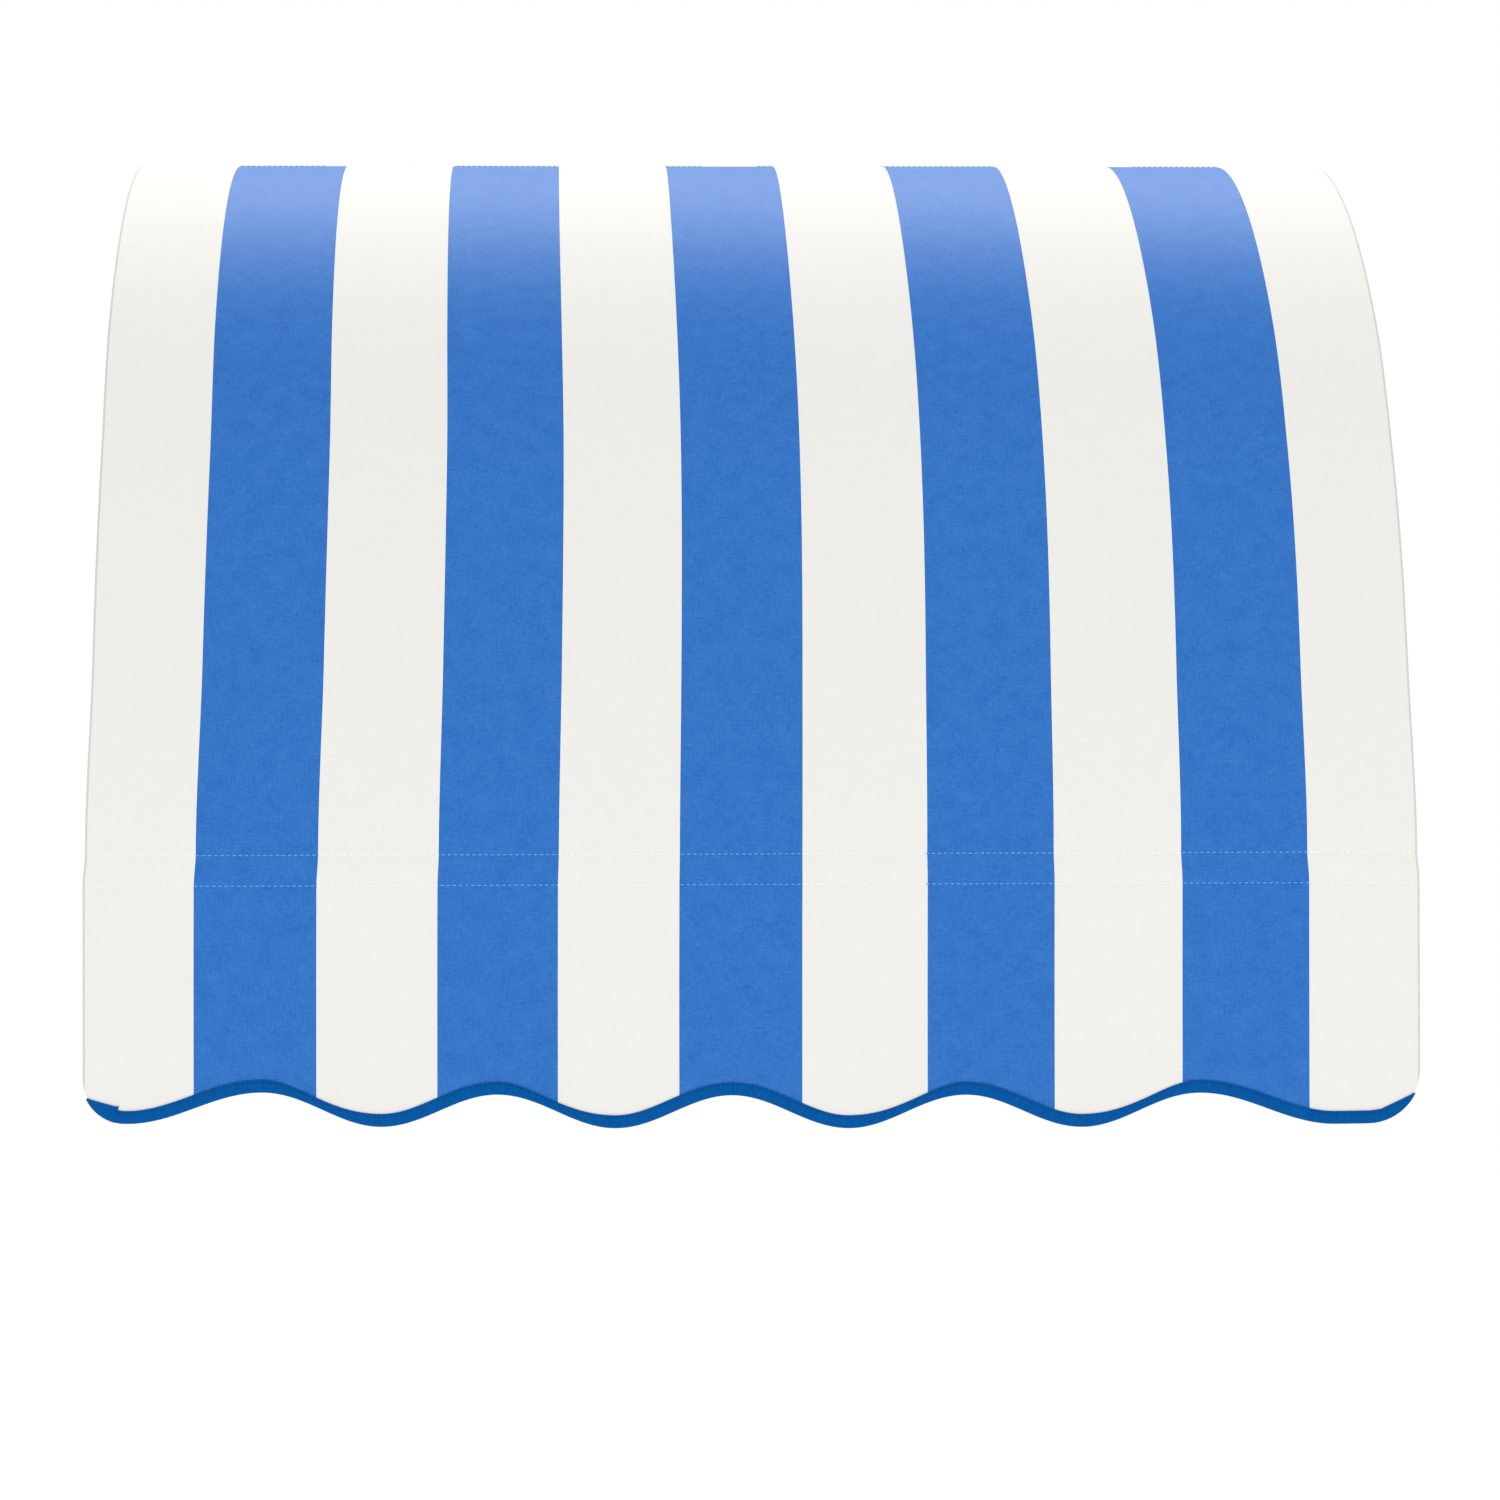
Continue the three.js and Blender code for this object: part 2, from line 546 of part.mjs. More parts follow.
for (const [name, side] of SIDES) {
  add(`rib_${name}`, rib(), steel, [side * RIB_X, 0, 0]);
  addRibEye(`rib_foot_eye_${name}`, side, FRONT, true);
  addRibEye(`rib_top_eye_${name}`, side, HEAD, false);

  const armStart = FRONT_Y + EYE_REACH + GAP;
  const armEnd = FOOT_AXIS_Y - EYE_REACH - GAP;
  add(`arm_${name}`, alongY(circle(TUBE_R, TUBE_R - TUBE_WALL), armStart, armEnd), steel,
    [side * ARM_X, 0, ARC_Z]);
  add(`arm_front_eye_${name}`, eyeEnd(0), cast, [side * ARM_X, FRONT_Y, ARC_Z], [-Math.PI / 2, 0, 0]);
  add(`arm_back_eye_${name}`, eyeEnd(0), cast, [side * ARM_X, FOOT_AXIS_Y, ARC_Z], [Math.PI / 2, 0, 0]);

  const headEnd = RIB_X - LUG / 2 - GAP;
  const frontEnd = ARM_X - LUG / 2 - GAP;
  add(`head_insert_${name}`, threadedInsert(TUBE_R), zinc, [side * headEnd, HEAD_Y, 0], turned(side));
  add(`front_insert_${name}`, threadedInsert(FRONT_R), zinc, [side * frontEnd, FRONT_Y, ARC_Z],
    turned(side));

  const boltX = RIB_X + LUG / 2 + GAP;
  add(`head_bolt_${name}`, hexBolt(LUG + 25), zinc, [side * boltX, HEAD_Y, 0], turned(side));
  add(`corner_bolt_${name}`, hexBolt(2 * LUG + 25), zinc, [side * boltX, FRONT_Y, ARC_Z],
    turned(side));

  add(`foot_bracket_${name}`, footBracket(), plate, [side * ARM_X, 0, ARC_Z]);
  const earOuter = LUG / 2 + GAP + EAR + GAP;
  add(`foot_bolt_${name}`, hexBolt(2 * earOuter + NUT + 3), zinc,
    [side * (ARM_X + earOuter), FOOT_AXIS_Y, ARC_Z], turned(side));
  add(`foot_nut_${name}`, hexNut(), zinc,
    [side * (ARM_X - earOuter - NUT / 2), FOOT_AXIS_Y, ARC_Z]);

  CROSS_ANGLES.forEach((degrees, i) => {
    const place = crossPlace(degrees);
    add(`cross_plug_${CROSS_NAMES[i]}_${name}`, crossPlug(), nylon,
      [side * crossHalf, place.x, place.y], turned(side));
    add(`cross_screw_${CROSS_NAMES[i]}_${name}`, screw(2 * TUBE_R + CROSS_PLUG - 2), zinc,
      [side * (RIB_X + TUBE_R + GAP), place.x, place.y], turned(side));
  });

  STRAP_ANGLES.forEach((degrees, i) => {
    const angle = THREE.MathUtils.degToRad(degrees);
    const place = onArc(RIB_RADIUS, angle);
    add(`side_strap_${STRAP_NAMES[i]}_${name}`, sideStrap(), webbing,
      [side * RIB_X, place.x, place.y], [Math.PI / 2 - angle, 0, 0]);
  });
}

export default awning;
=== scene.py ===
"""Looks of the quarter-round window awning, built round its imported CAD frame, in metres, +Z up."""

import math
import random

import bmesh
import bpy
from mathutils import Matrix, Vector, noise


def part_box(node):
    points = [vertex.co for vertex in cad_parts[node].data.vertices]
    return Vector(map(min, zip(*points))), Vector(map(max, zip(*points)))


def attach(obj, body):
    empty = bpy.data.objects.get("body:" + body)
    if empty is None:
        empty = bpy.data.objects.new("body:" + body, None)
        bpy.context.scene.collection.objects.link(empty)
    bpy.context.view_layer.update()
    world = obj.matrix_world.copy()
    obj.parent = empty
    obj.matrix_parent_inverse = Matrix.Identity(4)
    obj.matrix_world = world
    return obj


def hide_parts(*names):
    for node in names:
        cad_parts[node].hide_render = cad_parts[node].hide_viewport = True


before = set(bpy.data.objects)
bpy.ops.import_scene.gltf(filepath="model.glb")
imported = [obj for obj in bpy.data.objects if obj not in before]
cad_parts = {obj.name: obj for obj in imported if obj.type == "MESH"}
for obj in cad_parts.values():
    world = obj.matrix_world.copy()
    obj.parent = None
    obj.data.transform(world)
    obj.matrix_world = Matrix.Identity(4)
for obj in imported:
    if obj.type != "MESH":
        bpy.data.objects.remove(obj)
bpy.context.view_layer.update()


def middle(node):
    low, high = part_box(node)
    return (low + high) / 2


def size(node):
    low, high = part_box(node)
    return high - low


# Measures of the frame

CLOTH_LOW, CLOTH_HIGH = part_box("canopy_cloth")
TAPE_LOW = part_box("edge_binding")[0]
HEAD = middle("head_bar")
FRONT = middle("front_bar")
ARC_Z = FRONT.z  # height of the cover's arc centre, on the wall
PROJECTION = -CLOTH_LOW.y  # the cover's outer radius
HALF_WIDTH = CLOTH_HIGH.x
BAR_REACH = math.hypot(HEAD.y, HEAD.z - ARC_Z)  # arc centre to the head bar
HEAD_ANGLE = math.atan2(HEAD.z - ARC_Z, -HEAD.y)
POCKET_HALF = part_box("bar_pocket")[1].x
SIDES = {"left": -1, "right": 1}
LEVELS = ("low", "middle", "high")

# Cloth

CLOTH = 0.0005
COVER_RADIUS = PROJECTION - CLOTH / 2
LAYER_GAP = 0.0001  # between two layers of cloth
SIDE_HEM = 0.020
SIDE_EDGE_SHADE = 0.0012  # width of the painted shade along the side hems' edges, where the white cloth is a shade darker
BAR_PINCH = 0.0035  # the share by which the cover narrows at the bar pocket
ARC_PINCH = 0.0068  # and by how much more it narrows over the arc
TOP_FLARE = 0.0030  # and how much of that it wins back towards the head bar
PINCH_RISE = 0.150  # the length of cloth over which the last two come about
WANDER = 0.0040  # the stripes stray this far sideways, most at WANDER_RISE
WANDER_RISE = 0.340  # along the cloth from the front bar's level
WANDER_REACH = 0.250
STRIPE = 0.0954
STRIPE_EDGES = 10
STRIPE_DRIFT = 0.0094  # the middle stripes sit this far to the left of even ones
STRIPE_LEAN = 0.0010  # and the ones beside them lean the other way
HEM_STEP = 0.013  # half the height over which the cover narrows at the bar
HEAD_FLAP = 0.045
FLAP_HEM = 0.012
NOTCH_MARGIN = 0.003
NOTCH_TURN = math.radians(22)  # how far behind the head bar's top a notch leaves the cloth
STITCH_OFFSET = 0.01175  # bar pocket's stitch lines, above and below the bar
POCKET_HEM = 0.003
BAR_PLAY = 0.0003

# Scalloped edge

SCALLOP_PITCH = 0.180
SCALLOP_DEPTH = 0.0254
SCALLOP_SHIFT = -0.016
INNER_ARCHES = 2
END_HALF_WAVE = 0.106
EDGE_BOW = 0.0042  # the cut edge rises to the sides by this
EDGE_TILT = 0.0022  # and more on the left than on the right
CORNER_RADII = {"left": 0.032, "right": 0.040}
CORNER_STEPS = 10
CUT_EDGE_Z = CLOTH_LOW.z  # lowest line of the cut edge, inside the tape

# Binding tape

TAPE = 0.0007
TAPE_WIDTH = 0.0100  # from the folded edge to the upper one
TAPE_FOLD = CUT_EDGE_Z - TAPE_LOW.z
TAPE_END_RISES = {"left": 0.018, "right": 0.022}  # where its trimmed ends meet the cloth's side
TAPE_TIP = 0.001  # and how much higher its tips point
LEAST_TAPE = 0.0003
LAP = TAPE / 2  # thickness of the lapped piece

# Stitches

STITCH_PITCH = 0.00473
STITCH_LENGTH = 0.0033
STITCH_WIDTH = 0.00105
STITCH_HEIGHT = 0.0005
STITCH_SINK = 0.00012  # from the cloth's face to a stitch's middle
SEAM_MARGIN = 0.002  # a seam's end to the cloth's side
TAPE_STITCH_PITCH = 0.0036
TAPE_STITCH_LENGTH = 0.0026
TAPE_STITCH_WIDTH = 0.0006
TAPE_STITCH_INSET = 0.0018  # from the tape's upper edge
STITCHED_TAPE = 0.004  # the narrowest tape that gets stitches


# Camera

CAMERA_DISTANCE = 3.996  # to the front of the cloth
CAMERA_LENS = 124.74
CAMERA_X = -0.136
CAMERA_RISE = 0.061  # above the front bar
CAMERA_YAW = math.radians(1.906)  # to the right
CAMERA_PITCH = math.radians(0.439)
CAMERA_ROLL = math.radians(-0.160)


def link(name, data):
    """A new object in the scene."""
    made = bpy.data.objects.new(name, data)
    bpy.context.scene.collection.objects.link(made)
    return made


def make_camera():
    data = bpy.data.cameras.new("camera")
    data.lens = CAMERA_LENS
    camera = link("camera", data)
    place = Vector((CAMERA_X, CLOTH_LOW.y - CAMERA_DISTANCE, ARC_Z + CAMERA_RISE))
    yaw = Matrix.Rotation(-CAMERA_YAW, 4, "Z")
    pitch = Matrix.Rotation(math.pi / 2 + CAMERA_PITCH, 4, "X")
    roll = Matrix.Rotation(CAMERA_ROLL, 4, "Z")
    camera.matrix_world = Matrix.Translation(place) @ yaw @ pitch @ roll
    bpy.context.scene.camera = camera


# Nodes

def node(tree, kind, settings=None, **inputs):
    """Adds a node. An input is a value or the socket that feeds it; _ in its name is a space."""
    made = tree.nodes.new(kind)
    for key, value in (settings or {}).items():
        setattr(made, key, value)
    for key, value in inputs.items():
        feed(tree, made.inputs[key.replace("_", " ")], value)
    return made


def feed(tree, socket, value):
    if isinstance(value, bpy.types.NodeSocket):
        tree.links.new(value, socket)
    else:
        socket.default_value = value


def calculate(tree, operation, *values):
    made = node(tree, "ShaderNodeMath", {"operation": operation})
    for socket, value in zip(made.inputs, values):
        feed(tree, socket, value)
    return made.outputs[0]


def summed(tree, *parts):
    """The sum of sockets, each given with its weight."""
    weighed = [calculate(tree, "MULTIPLY", socket, weight) for socket, weight in parts]
    added = weighed[0]
    for part in weighed[1:]:
        added = calculate(tree, "ADD", added, part)
    return added


def principled(name, colour, roughness, **values):
    """A material and its tree. The values are more inputs of its shader."""
    material = bpy.data.materials.new(name)
    material.use_nodes = True
    material.diffuse_color = (*colour, 1)
    inputs = material.node_tree.nodes["Principled BSDF"].inputs
    values.update(Base_Color=(*colour, 1), Roughness=roughness)
    for key, value in values.items():
        inputs[key.replace("_", " ")].default_value = value
    return material, material.node_tree


def shade(tree, name, socket):
    """Feeds an input of the material's shader."""
    tree.links.new(socket, tree.nodes["Principled BSDF"].inputs[name])


def vary_colour(tree, amount, dark, light):
    """The colour goes from dark to light as amount goes from 0 to 1."""
    mixed = node(tree, "ShaderNodeMix", {"data_type": "RGBA"})
    feed(tree, mixed.inputs["Factor"], amount)
    mixed.inputs["A"].default_value = (*dark, 1)
    mixed.inputs["B"].default_value = (*light, 1)
    shade(tree, "Base Color", mixed.outputs["Result"])


def mottle(tree, amount, colour, low, high):
    """The colour goes from low to high times itself as amount goes from 0 to 1."""
    dark, light = [[min(value * factor, 1.0) for value in colour] for factor in (low, high)]
    vary_colour(tree, amount, dark, light)


def vary_roughness(tree, amount, low, high):
    spread = node(tree, "ShaderNodeMapRange", Value=amount, To_Min=low, To_Max=high)
    shade(tree, "Roughness", spread.outputs["Result"])


def bump(tree, height, distance, strength=1.0):
    made = node(tree, "ShaderNodeBump", Height=height, Distance=distance, Strength=strength)
    shade(tree, "Normal", made.outputs["Normal"])


def noise_of(tree, vector, scale, detail=2.0, roughness=0.5):
    made = node(
        tree, "ShaderNodeTexNoise", Vector=vector, Scale=scale, Detail=detail, Roughness=roughness)
    return made.outputs[0]


def stretched(tree, vector, scale):
    return node(tree, "ShaderNodeMapping", Vector=vector, Scale=scale).outputs["Vector"]


def ridges(tree, place, pitch):
    return calculate(tree, "SINE", calculate(tree, "MULTIPLY", place, 2 * math.pi / pitch))


def flat_places(tree):
    """The place on the flat cloth, in metres: the vector, along the width and along the length."""
    vector = node(tree, "ShaderNodeUVMap", {"uv_map": "flat"}).outputs["UV"]
    parts = node(tree, "ShaderNodeSeparateXYZ", Vector=vector)
    return vector, parts.outputs["X"], parts.outputs["Y"]


def object_places(tree):
    return node(tree, "ShaderNodeTexCoord").outputs["Object"]


# Materials

THREAD_PITCH = 0.0011  # two threads of the cloth
TAPE_RIB = 0.0015
TAPE_ROW = 0.0012
TWILL_PITCH = 0.0018


def canvas(name, dark, light, gloss):
    """Plain-woven awning cloth: slubs along both threads and faint clouds, between two near colours."""
    between = [(a + b) / 2 for a, b in zip(dark, light)]
    material, tree = principled(name, between, 0.40, Specular_IOR_Level=gloss)
    vector, across, along = flat_places(tree)
    grain = noise_of(tree, vector, 520.0, 1.5)
    warp = noise_of(tree, stretched(tree, vector, (650, 130, 1)), 1.0)
    weft = noise_of(tree, stretched(tree, vector, (130, 650, 1)), 1.0)
    clouds = noise_of(tree, vector, 60.0, 4.0)
    slubs = calculate(tree, "ADD", warp, weft)
    sums = summed(tree, (grain, 1), (clouds, 1), (slubs, 1))
    amount = node(tree, "ShaderNodeMapRange", Value=sums, From_Min=1.55, From_Max=2.45).outputs["Result"]
    vary_colour(tree, amount, dark, light)
    weave = calculate(
        tree, "MULTIPLY", ridges(tree, across, THREAD_PITCH), ridges(tree, along, THREAD_PITCH))
    bump(tree, summed(tree, (weave, 0.5), (slubs, 1)), 0.00012, 0.6)
    return material


def ribbed_tape(name, colour):
    material, tree = principled(name, colour, 0.6, Specular_IOR_Level=0.02)
    vector, along, across = flat_places(tree)
    ribs = ridges(tree, along, TAPE_RIB)
    rows = ridges(tree, across, TAPE_ROW)
    wear = noise_of(tree, stretched(tree, vector, (500, 120, 1)), 1.0, 3.0)
    mottle(tree, summed(tree, (wear, 1), (ribs, 0.22)), colour, 0.72, 1.28)
    bump(tree, summed(tree, (ribs, 1), (rows, 0.35)), 0.00015, 0.6)
    return material


def webbing_band(name, colour):
    material, tree = principled(name, colour, 0.7, Specular_IOR_Level=0.3, Sheen_Weight=0.1)
    vector, across, along = flat_places(tree)
    twill = ridges(tree, summed(tree, (across, 1), (along, 0.6)), TWILL_PITCH)
    wear = noise_of(tree, vector, 220.0, 3.0)
    mottle(tree, summed(tree, (twill, 0.3), (wear, 1)), colour, 0.86, 1.08)
    bump(tree, twill, 0.0002, 0.7)
    return material


def thread(name, colour):
    material, tree = principled(name, colour, 0.5, Specular_IOR_Level=0.05)
    twist = noise_of(tree, object_places(tree), 2600.0, 1.0)
    mottle(tree, twist, colour, 0.9, 1.08)
    return material


def galvanised(name, colour):
    """Hot-dip zinc: angular grains that differ in brightness and gloss, under a dull bloom."""
    material, tree = principled(name, colour, 0.42, Metallic=0.88)
    place = object_places(tree)
    grain = node(tree, "ShaderNodeTexVoronoi", Vector=place, Scale=160.0, Randomness=1.0)
    tone = node(tree, "ShaderNodeSeparateColor", Color=grain.outputs["Color"]).outputs["Red"]
    bloom = noise_of(tree, place, 35.0, 4.0)
    amount = summed(tree, (tone, 0.55), (bloom, 0.45))
    mottle(tree, amount, colour, 0.74, 1.22)
    vary_roughness(tree, amount, 0.5, 0.32)
    bump(tree, bloom, 0.0003, 0.25)
    return material


def plated(name, colour, roughness):
    """Bright zinc plating with faint brushing."""
    material, tree = principled(name, colour, roughness, Metallic=0.95)
    place = object_places(tree)
    brushing = noise_of(tree, stretched(tree, place, (90, 90, 1400)), 1.0, 2.0)
    cloud = noise_of(tree, place, 120.0, 3.0)
    amount = summed(tree, (brushing, 0.5), (cloud, 0.5))
    mottle(tree, amount, colour, 0.8, 1.15)
    vary_roughness(tree, amount, roughness + 0.1, roughness - 0.08)
    bump(tree, brushing, 0.0001, 0.2)
    return material


def cast_metal(name, colour):
    material, tree = principled(name, colour, 0.55, Metallic=0.8)
    place = object_places(tree)
    pits = noise_of(tree, place, 900.0, 3.0, 0.6)
    cloud = noise_of(tree, place, 90.0, 3.0)
    mottle(tree, summed(tree, (pits, 0.5), (cloud, 0.5)), colour, 0.75, 1.2)
    vary_roughness(tree, cloud, 0.48, 0.66)
    bump(tree, pits, 0.0003, 0.5)
    return material


def moulded(name, colour):
    material, tree = principled(name, colour, 0.5)
    grain = noise_of(tree, object_places(tree), 1400.0, 2.0)
    mottle(tree, grain, colour, 0.8, 1.4)
    bump(tree, grain, 0.0001, 0.3)
    return material


WHITE_CLOTH = canvas("cloth_white", (0.811, 0.803, 0.769), (0.827, 0.819, 0.785), 0.0)
# Painted shade: the white cloth is painted a shade darker along the side hems' edges, where they turn
# away from the light.
WHITE_EDGE_SHADE = canvas("cloth_white_edge_shade", (0.62, 0.615, 0.60), (0.66, 0.655, 0.64), 0.0)
BLUE_CLOTH = canvas("cloth_blue", (0.0245, 0.1435, 0.491), (0.0450, 0.1935, 0.575), 0.042)
BLUE_TAPE = ribbed_tape("tape_blue", (0.0018, 0.093, 0.345))
TAPE_THREAD = thread("thread_tape", (0.004, 0.075, 0.270))
THREAD_ON_WHITE = thread("thread_on_white", (0.93, 0.93, 0.91))
THREAD_ON_BLUE = thread("thread_on_blue", (0.130, 0.380, 0.820))
WEBBING = webbing_band("webbing_white", (0.72, 0.71, 0.67))
TUBE_STEEL = galvanised("steel_galvanised", (0.60, 0.62, 0.64))
PLATE_STEEL = plated("steel_plate", (0.52, 0.54, 0.56), 0.42)
FASTENER = plated("zinc_plated", (0.70, 0.71, 0.72), 0.3)
CAST = cast_metal("metal_cast", (0.42, 0.43, 0.44))
NYLON = moulded("nylon_black", (0.012, 0.012, 0.013))


# Meshes

def place_object(mesh, materials, slot, *replaced):
    """Links a piece named as its mesh, and lets it ride on the frame in place of CAD nodes."""
    piece = link(mesh.name, mesh)
    for material in materials:
        mesh.materials.append(material)
    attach(piece, "root")
    if replaced:
        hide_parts(*replaced)
    return piece


def mesh_of(name, points, faces, flat=None, looks=None):
    """A smooth mesh. flat holds each point's place on the flat cloth, looks each face's material."""
    mesh = bpy.data.meshes.new(name)
    mesh.from_pydata(points, [], faces)
    if flat is not None:
        layer = mesh.uv_layers.new(name="flat")
        for loop in mesh.loops:
            layer.data[loop.index].uv = flat[loop.vertex_index]
    if looks is not None:
        mesh.polygons.foreach_set("material_index", looks)
    mesh.polygons.foreach_set("use_smooth", [True] * len(mesh.polygons))
    return mesh


def recalculate(mesh, sharp=math.radians(38)):
    built = bmesh.new()
    built.from_mesh(mesh)
    bmesh.ops.recalc_face_normals(built, faces=built.faces)
    built.to_mesh(mesh)
    built.free()
    mesh.set_sharp_from_angle(angle=sharp)


def settle(piece, sharp=math.radians(50)):
    """Applies the piece's modifiers and keeps its corners crisp."""
    evaluated = piece.evaluated_get(bpy.context.evaluated_depsgraph_get())
    mesh = bpy.data.meshes.new_from_object(evaluated)
    piece.modifiers.clear()
    piece.data = mesh
    mesh.set_sharp_from_angle(angle=sharp)


def place_sheet(mesh, thickness, materials, slot, *replaced):
    """A piece of cloth from its middle surface, with half its thickness to each side."""
    piece = place_object(mesh, materials, slot, *replaced)
    solid = piece.modifiers.new("thickness", "SOLIDIFY")
    solid.thickness = thickness
    solid.offset = 0
    settle(piece)
    return piece


def sheet_mesh(name, rows, flats, shown=lambda row, column: True, look=lambda column: 0):
    """A mesh over rows of points, with faces only where shown, each with the look of its column."""
    across = len(rows[0])
    faces = []
    looks = []
    for r in range(len(rows) - 1):
        for c in range(across - 1):
            if shown(r, c):
                first = r * across + c
                faces.append((first, first + 1, first + across + 1, first + across))
                looks.append(look(c))
    used = sorted({corner for face in faces for corner in face})
    number = {old: new for new, old in enumerate(used)}
    points = [point for row in rows for point in row]
    flat = [place for row in flats for place in row]
    return mesh_of(
        name, [points[i] for i in used], [tuple(number[i] for i in face) for face in faces],
        [flat[i] for i in used], looks)


def ring_faces(rings, closed=False, first=0):
    """Faces between neighbouring rings, whose points are numbered from first. Closed joins the last
    ring to the first one as well. A ring of one point makes an end."""
    starts = [first]
    for ring in rings:
        starts.append(starts[-1] + len(ring))
    pairs = list(zip(range(len(rings)), range(1, len(rings))))
    if closed:
        pairs.append((len(rings) - 1, 0))
    faces = []
    for a, b in pairs:
        near, far = len(rings[a]), len(rings[b])
        for i in range(max(near, far)):
            j = (i + 1) % max(near, far)
            corners = [
                starts[a] + i % near, starts[a] + j % near, starts[b] + j % far, starts[b] + i % far]
            faces.append(tuple(dict.fromkeys(corners)))
    return faces


def ring_mesh(name, rings, closed=False):
    """A skin over rings of equally many points."""
    mesh = mesh_of(name, [point for ring in rings for point in ring], ring_faces(rings, closed))
    recalculate(mesh)
    return mesh


# The cover's section, in the plane x = 0, as (y, z)

def on_arc(radius, angle):
    return Vector((-radius * math.cos(angle), ARC_Z + radius * math.sin(angle)))


def direction(angle):
    return Vector((math.cos(angle), math.sin(angle)))


def full_turn(count):
    return [2 * math.pi * k / count for k in range(count)]


def turn_round(centre, radius, start, end, steps):
    """Points round a centre, from one angle to another, both ends left out."""
    angles = [start + (end - start) * (i + 1) / (steps + 1) for i in range(steps)]
    return [centre + radius * direction(a) for a in angles]


def angle_of(vector):
    return math.atan2(vector.y, vector.x)


def smooth(t):
    t = min(max(t, 0.0), 1.0)
    return t * t * (3 - 2 * t)


def hump(distance, reach):
    return math.exp(-(distance / reach) ** 2)


ARC_STEP = 0.0095
LOOP_STEPS = 22
FINE_STEP = 0.0016  # near the bar pocket's stitches
FINE_REACH = 0.018
VALANCE_STEPS = 20
COLUMN_STEP = 0.0062
FOLD_STEPS = 6


def pocket_section():
    """From the head pocket's hem to its seam, then round the back of the head bar to its top."""
    bar = Vector((HEAD.y, HEAD.z))
    under = PROJECTION - 1.5 * CLOTH - LAYER_GAP
    loop = COVER_RADIUS - BAR_REACH
    hem = HEAD_ANGLE - (HEAD_FLAP + FLAP_HEM) / BAR_REACH
    seam = HEAD_ANGLE - HEAD_FLAP / BAR_REACH
    points = [on_arc(under, hem + (seam - hem) * i / 4) for i in range(5)]
    towards = points[-1] - bar
    leave = angle_of(towards) + math.acos(loop / towards.length)
    touch = bar + loop * direction(leave)
    points += [points[-1].lerp(touch, t) for t in (0.2, 0.4, 0.6, 0.8, 1.0)]
    top = math.pi - HEAD_ANGLE
    return points + turn_round(bar, loop, leave, top + 2 * math.pi, LOOP_STEPS)


def arc_section():
    """Over the arc from the head bar to the front bar's level, finer near the bar pocket."""
    fine = FINE_REACH / COVER_RADIUS
    coarse_steps = round((HEAD_ANGLE - fine) * COVER_RADIUS / ARC_STEP)
    fine_steps = round(FINE_REACH / FINE_STEP)
    angles = [HEAD_ANGLE + (fine - HEAD_ANGLE) * i / coarse_steps for i in range(coarse_steps)]
    angles += [fine * (1 - i / fine_steps) for i in range(fine_steps)]
    return [on_arc(COVER_RADIUS, angle) for angle in angles]


def valance_section():
    """Straight down from the front bar's level to below the bar pocket."""
    steps = round(FINE_REACH / FINE_STEP)
    return [Vector((-COVER_RADIUS, ARC_Z - FINE_REACH * i / steps)) for i in range(steps + 1)]


def lengths(points):
    """How far along the line each point is."""
    found = [0.0]
    for before, after in zip(points, points[1:]):
        found.append(found[-1] + (after - before).length)
    return found


def outward(points, i):
    """The cover's outward direction at a point of its section."""
    along = points[min(i + 1, len(points) - 1)] - points[max(i - 1, 0)]
    return Vector((along.y, -along.x)).normalized()


# The scalloped edge

def bow(x):
    """How far the cut edge rises towards the sides."""
    return EDGE_BOW * (x / HALF_WIDTH) ** 2 - EDGE_TILT * x / HALF_WIDTH


def wave(u):
    """Height over the lowest line, and slope, of the cut edge at u from the wave's middle."""
    reach = INNER_ARCHES * SCALLOP_PITCH
    past = max(abs(u) - reach, 0.0)
    length = END_HALF_WAVE if past > 0 else SCALLOP_PITCH / 2
    phase = math.pi * min(past / length, 1.0) if past > 0 else math.pi * abs(u) / length
    height = SCALLOP_DEPTH / 2 * (1 + math.cos(phase))
    slope = -math.copysign(SCALLOP_DEPTH / 2 * math.sin(phase) * math.pi / length, u)
    return height, slope


def side_of(x):
    return "left" if x < 0 else "right"


def cut_edge(x):
    """Height of the cloth's cut edge at x."""
    radius = CORNER_RADII[side_of(x)]
    into = min(abs(x) - (HALF_WIDTH - radius), radius)
    if into > 0:
        return CUT_EDGE_Z + radius - math.sqrt(radius ** 2 - into ** 2) + bow(x)
    return CUT_EDGE_Z + wave(x - SCALLOP_SHIFT)[0] + bow(x)


def corner_inset(name, rise):
    """How far in from the cover's side its round corner is, at this height over the lowest line."""
    radius = CORNER_RADII[name]
    return radius - math.sqrt(radius ** 2 - (radius - rise) ** 2)


def edge_line(step=0.004):
    """Places along the cut edge with the direction into the cloth, corner to corner, as (x, z)."""
    line = []
    ends = {}
    for name, side in SIDES.items():
        radius = CORNER_RADII[name]
        centre = Vector((side * (HALF_WIDTH - radius), CUT_EDGE_Z + radius))
        last = math.acos((radius - TAPE_END_RISES[name]) / radius)
        turns = [last * i / CORNER_STEPS for i in range(1, CORNER_STEPS + 1)]
        outs = [Vector((side * math.sin(a), -math.cos(a))) for a in turns]
        ends[name] = [(centre + radius * out, -out) for out in outs]
    left = -HALF_WIDTH + CORNER_RADII["left"]
    right = HALF_WIDTH - CORNER_RADII["right"]
    count = round((right - left) / step)
    for i in range(count + 1):
        x = left + (right - left) * i / count
        height, slope = wave(x - SCALLOP_SHIFT)
        line.append((Vector((x, CUT_EDGE_Z + height)), Vector((-slope, 1)).normalized()))
    line = ends["left"][::-1] + line + ends["right"]
    return [(place + Vector((0, bow(place.x))), into) for place, into in line]


# The cover

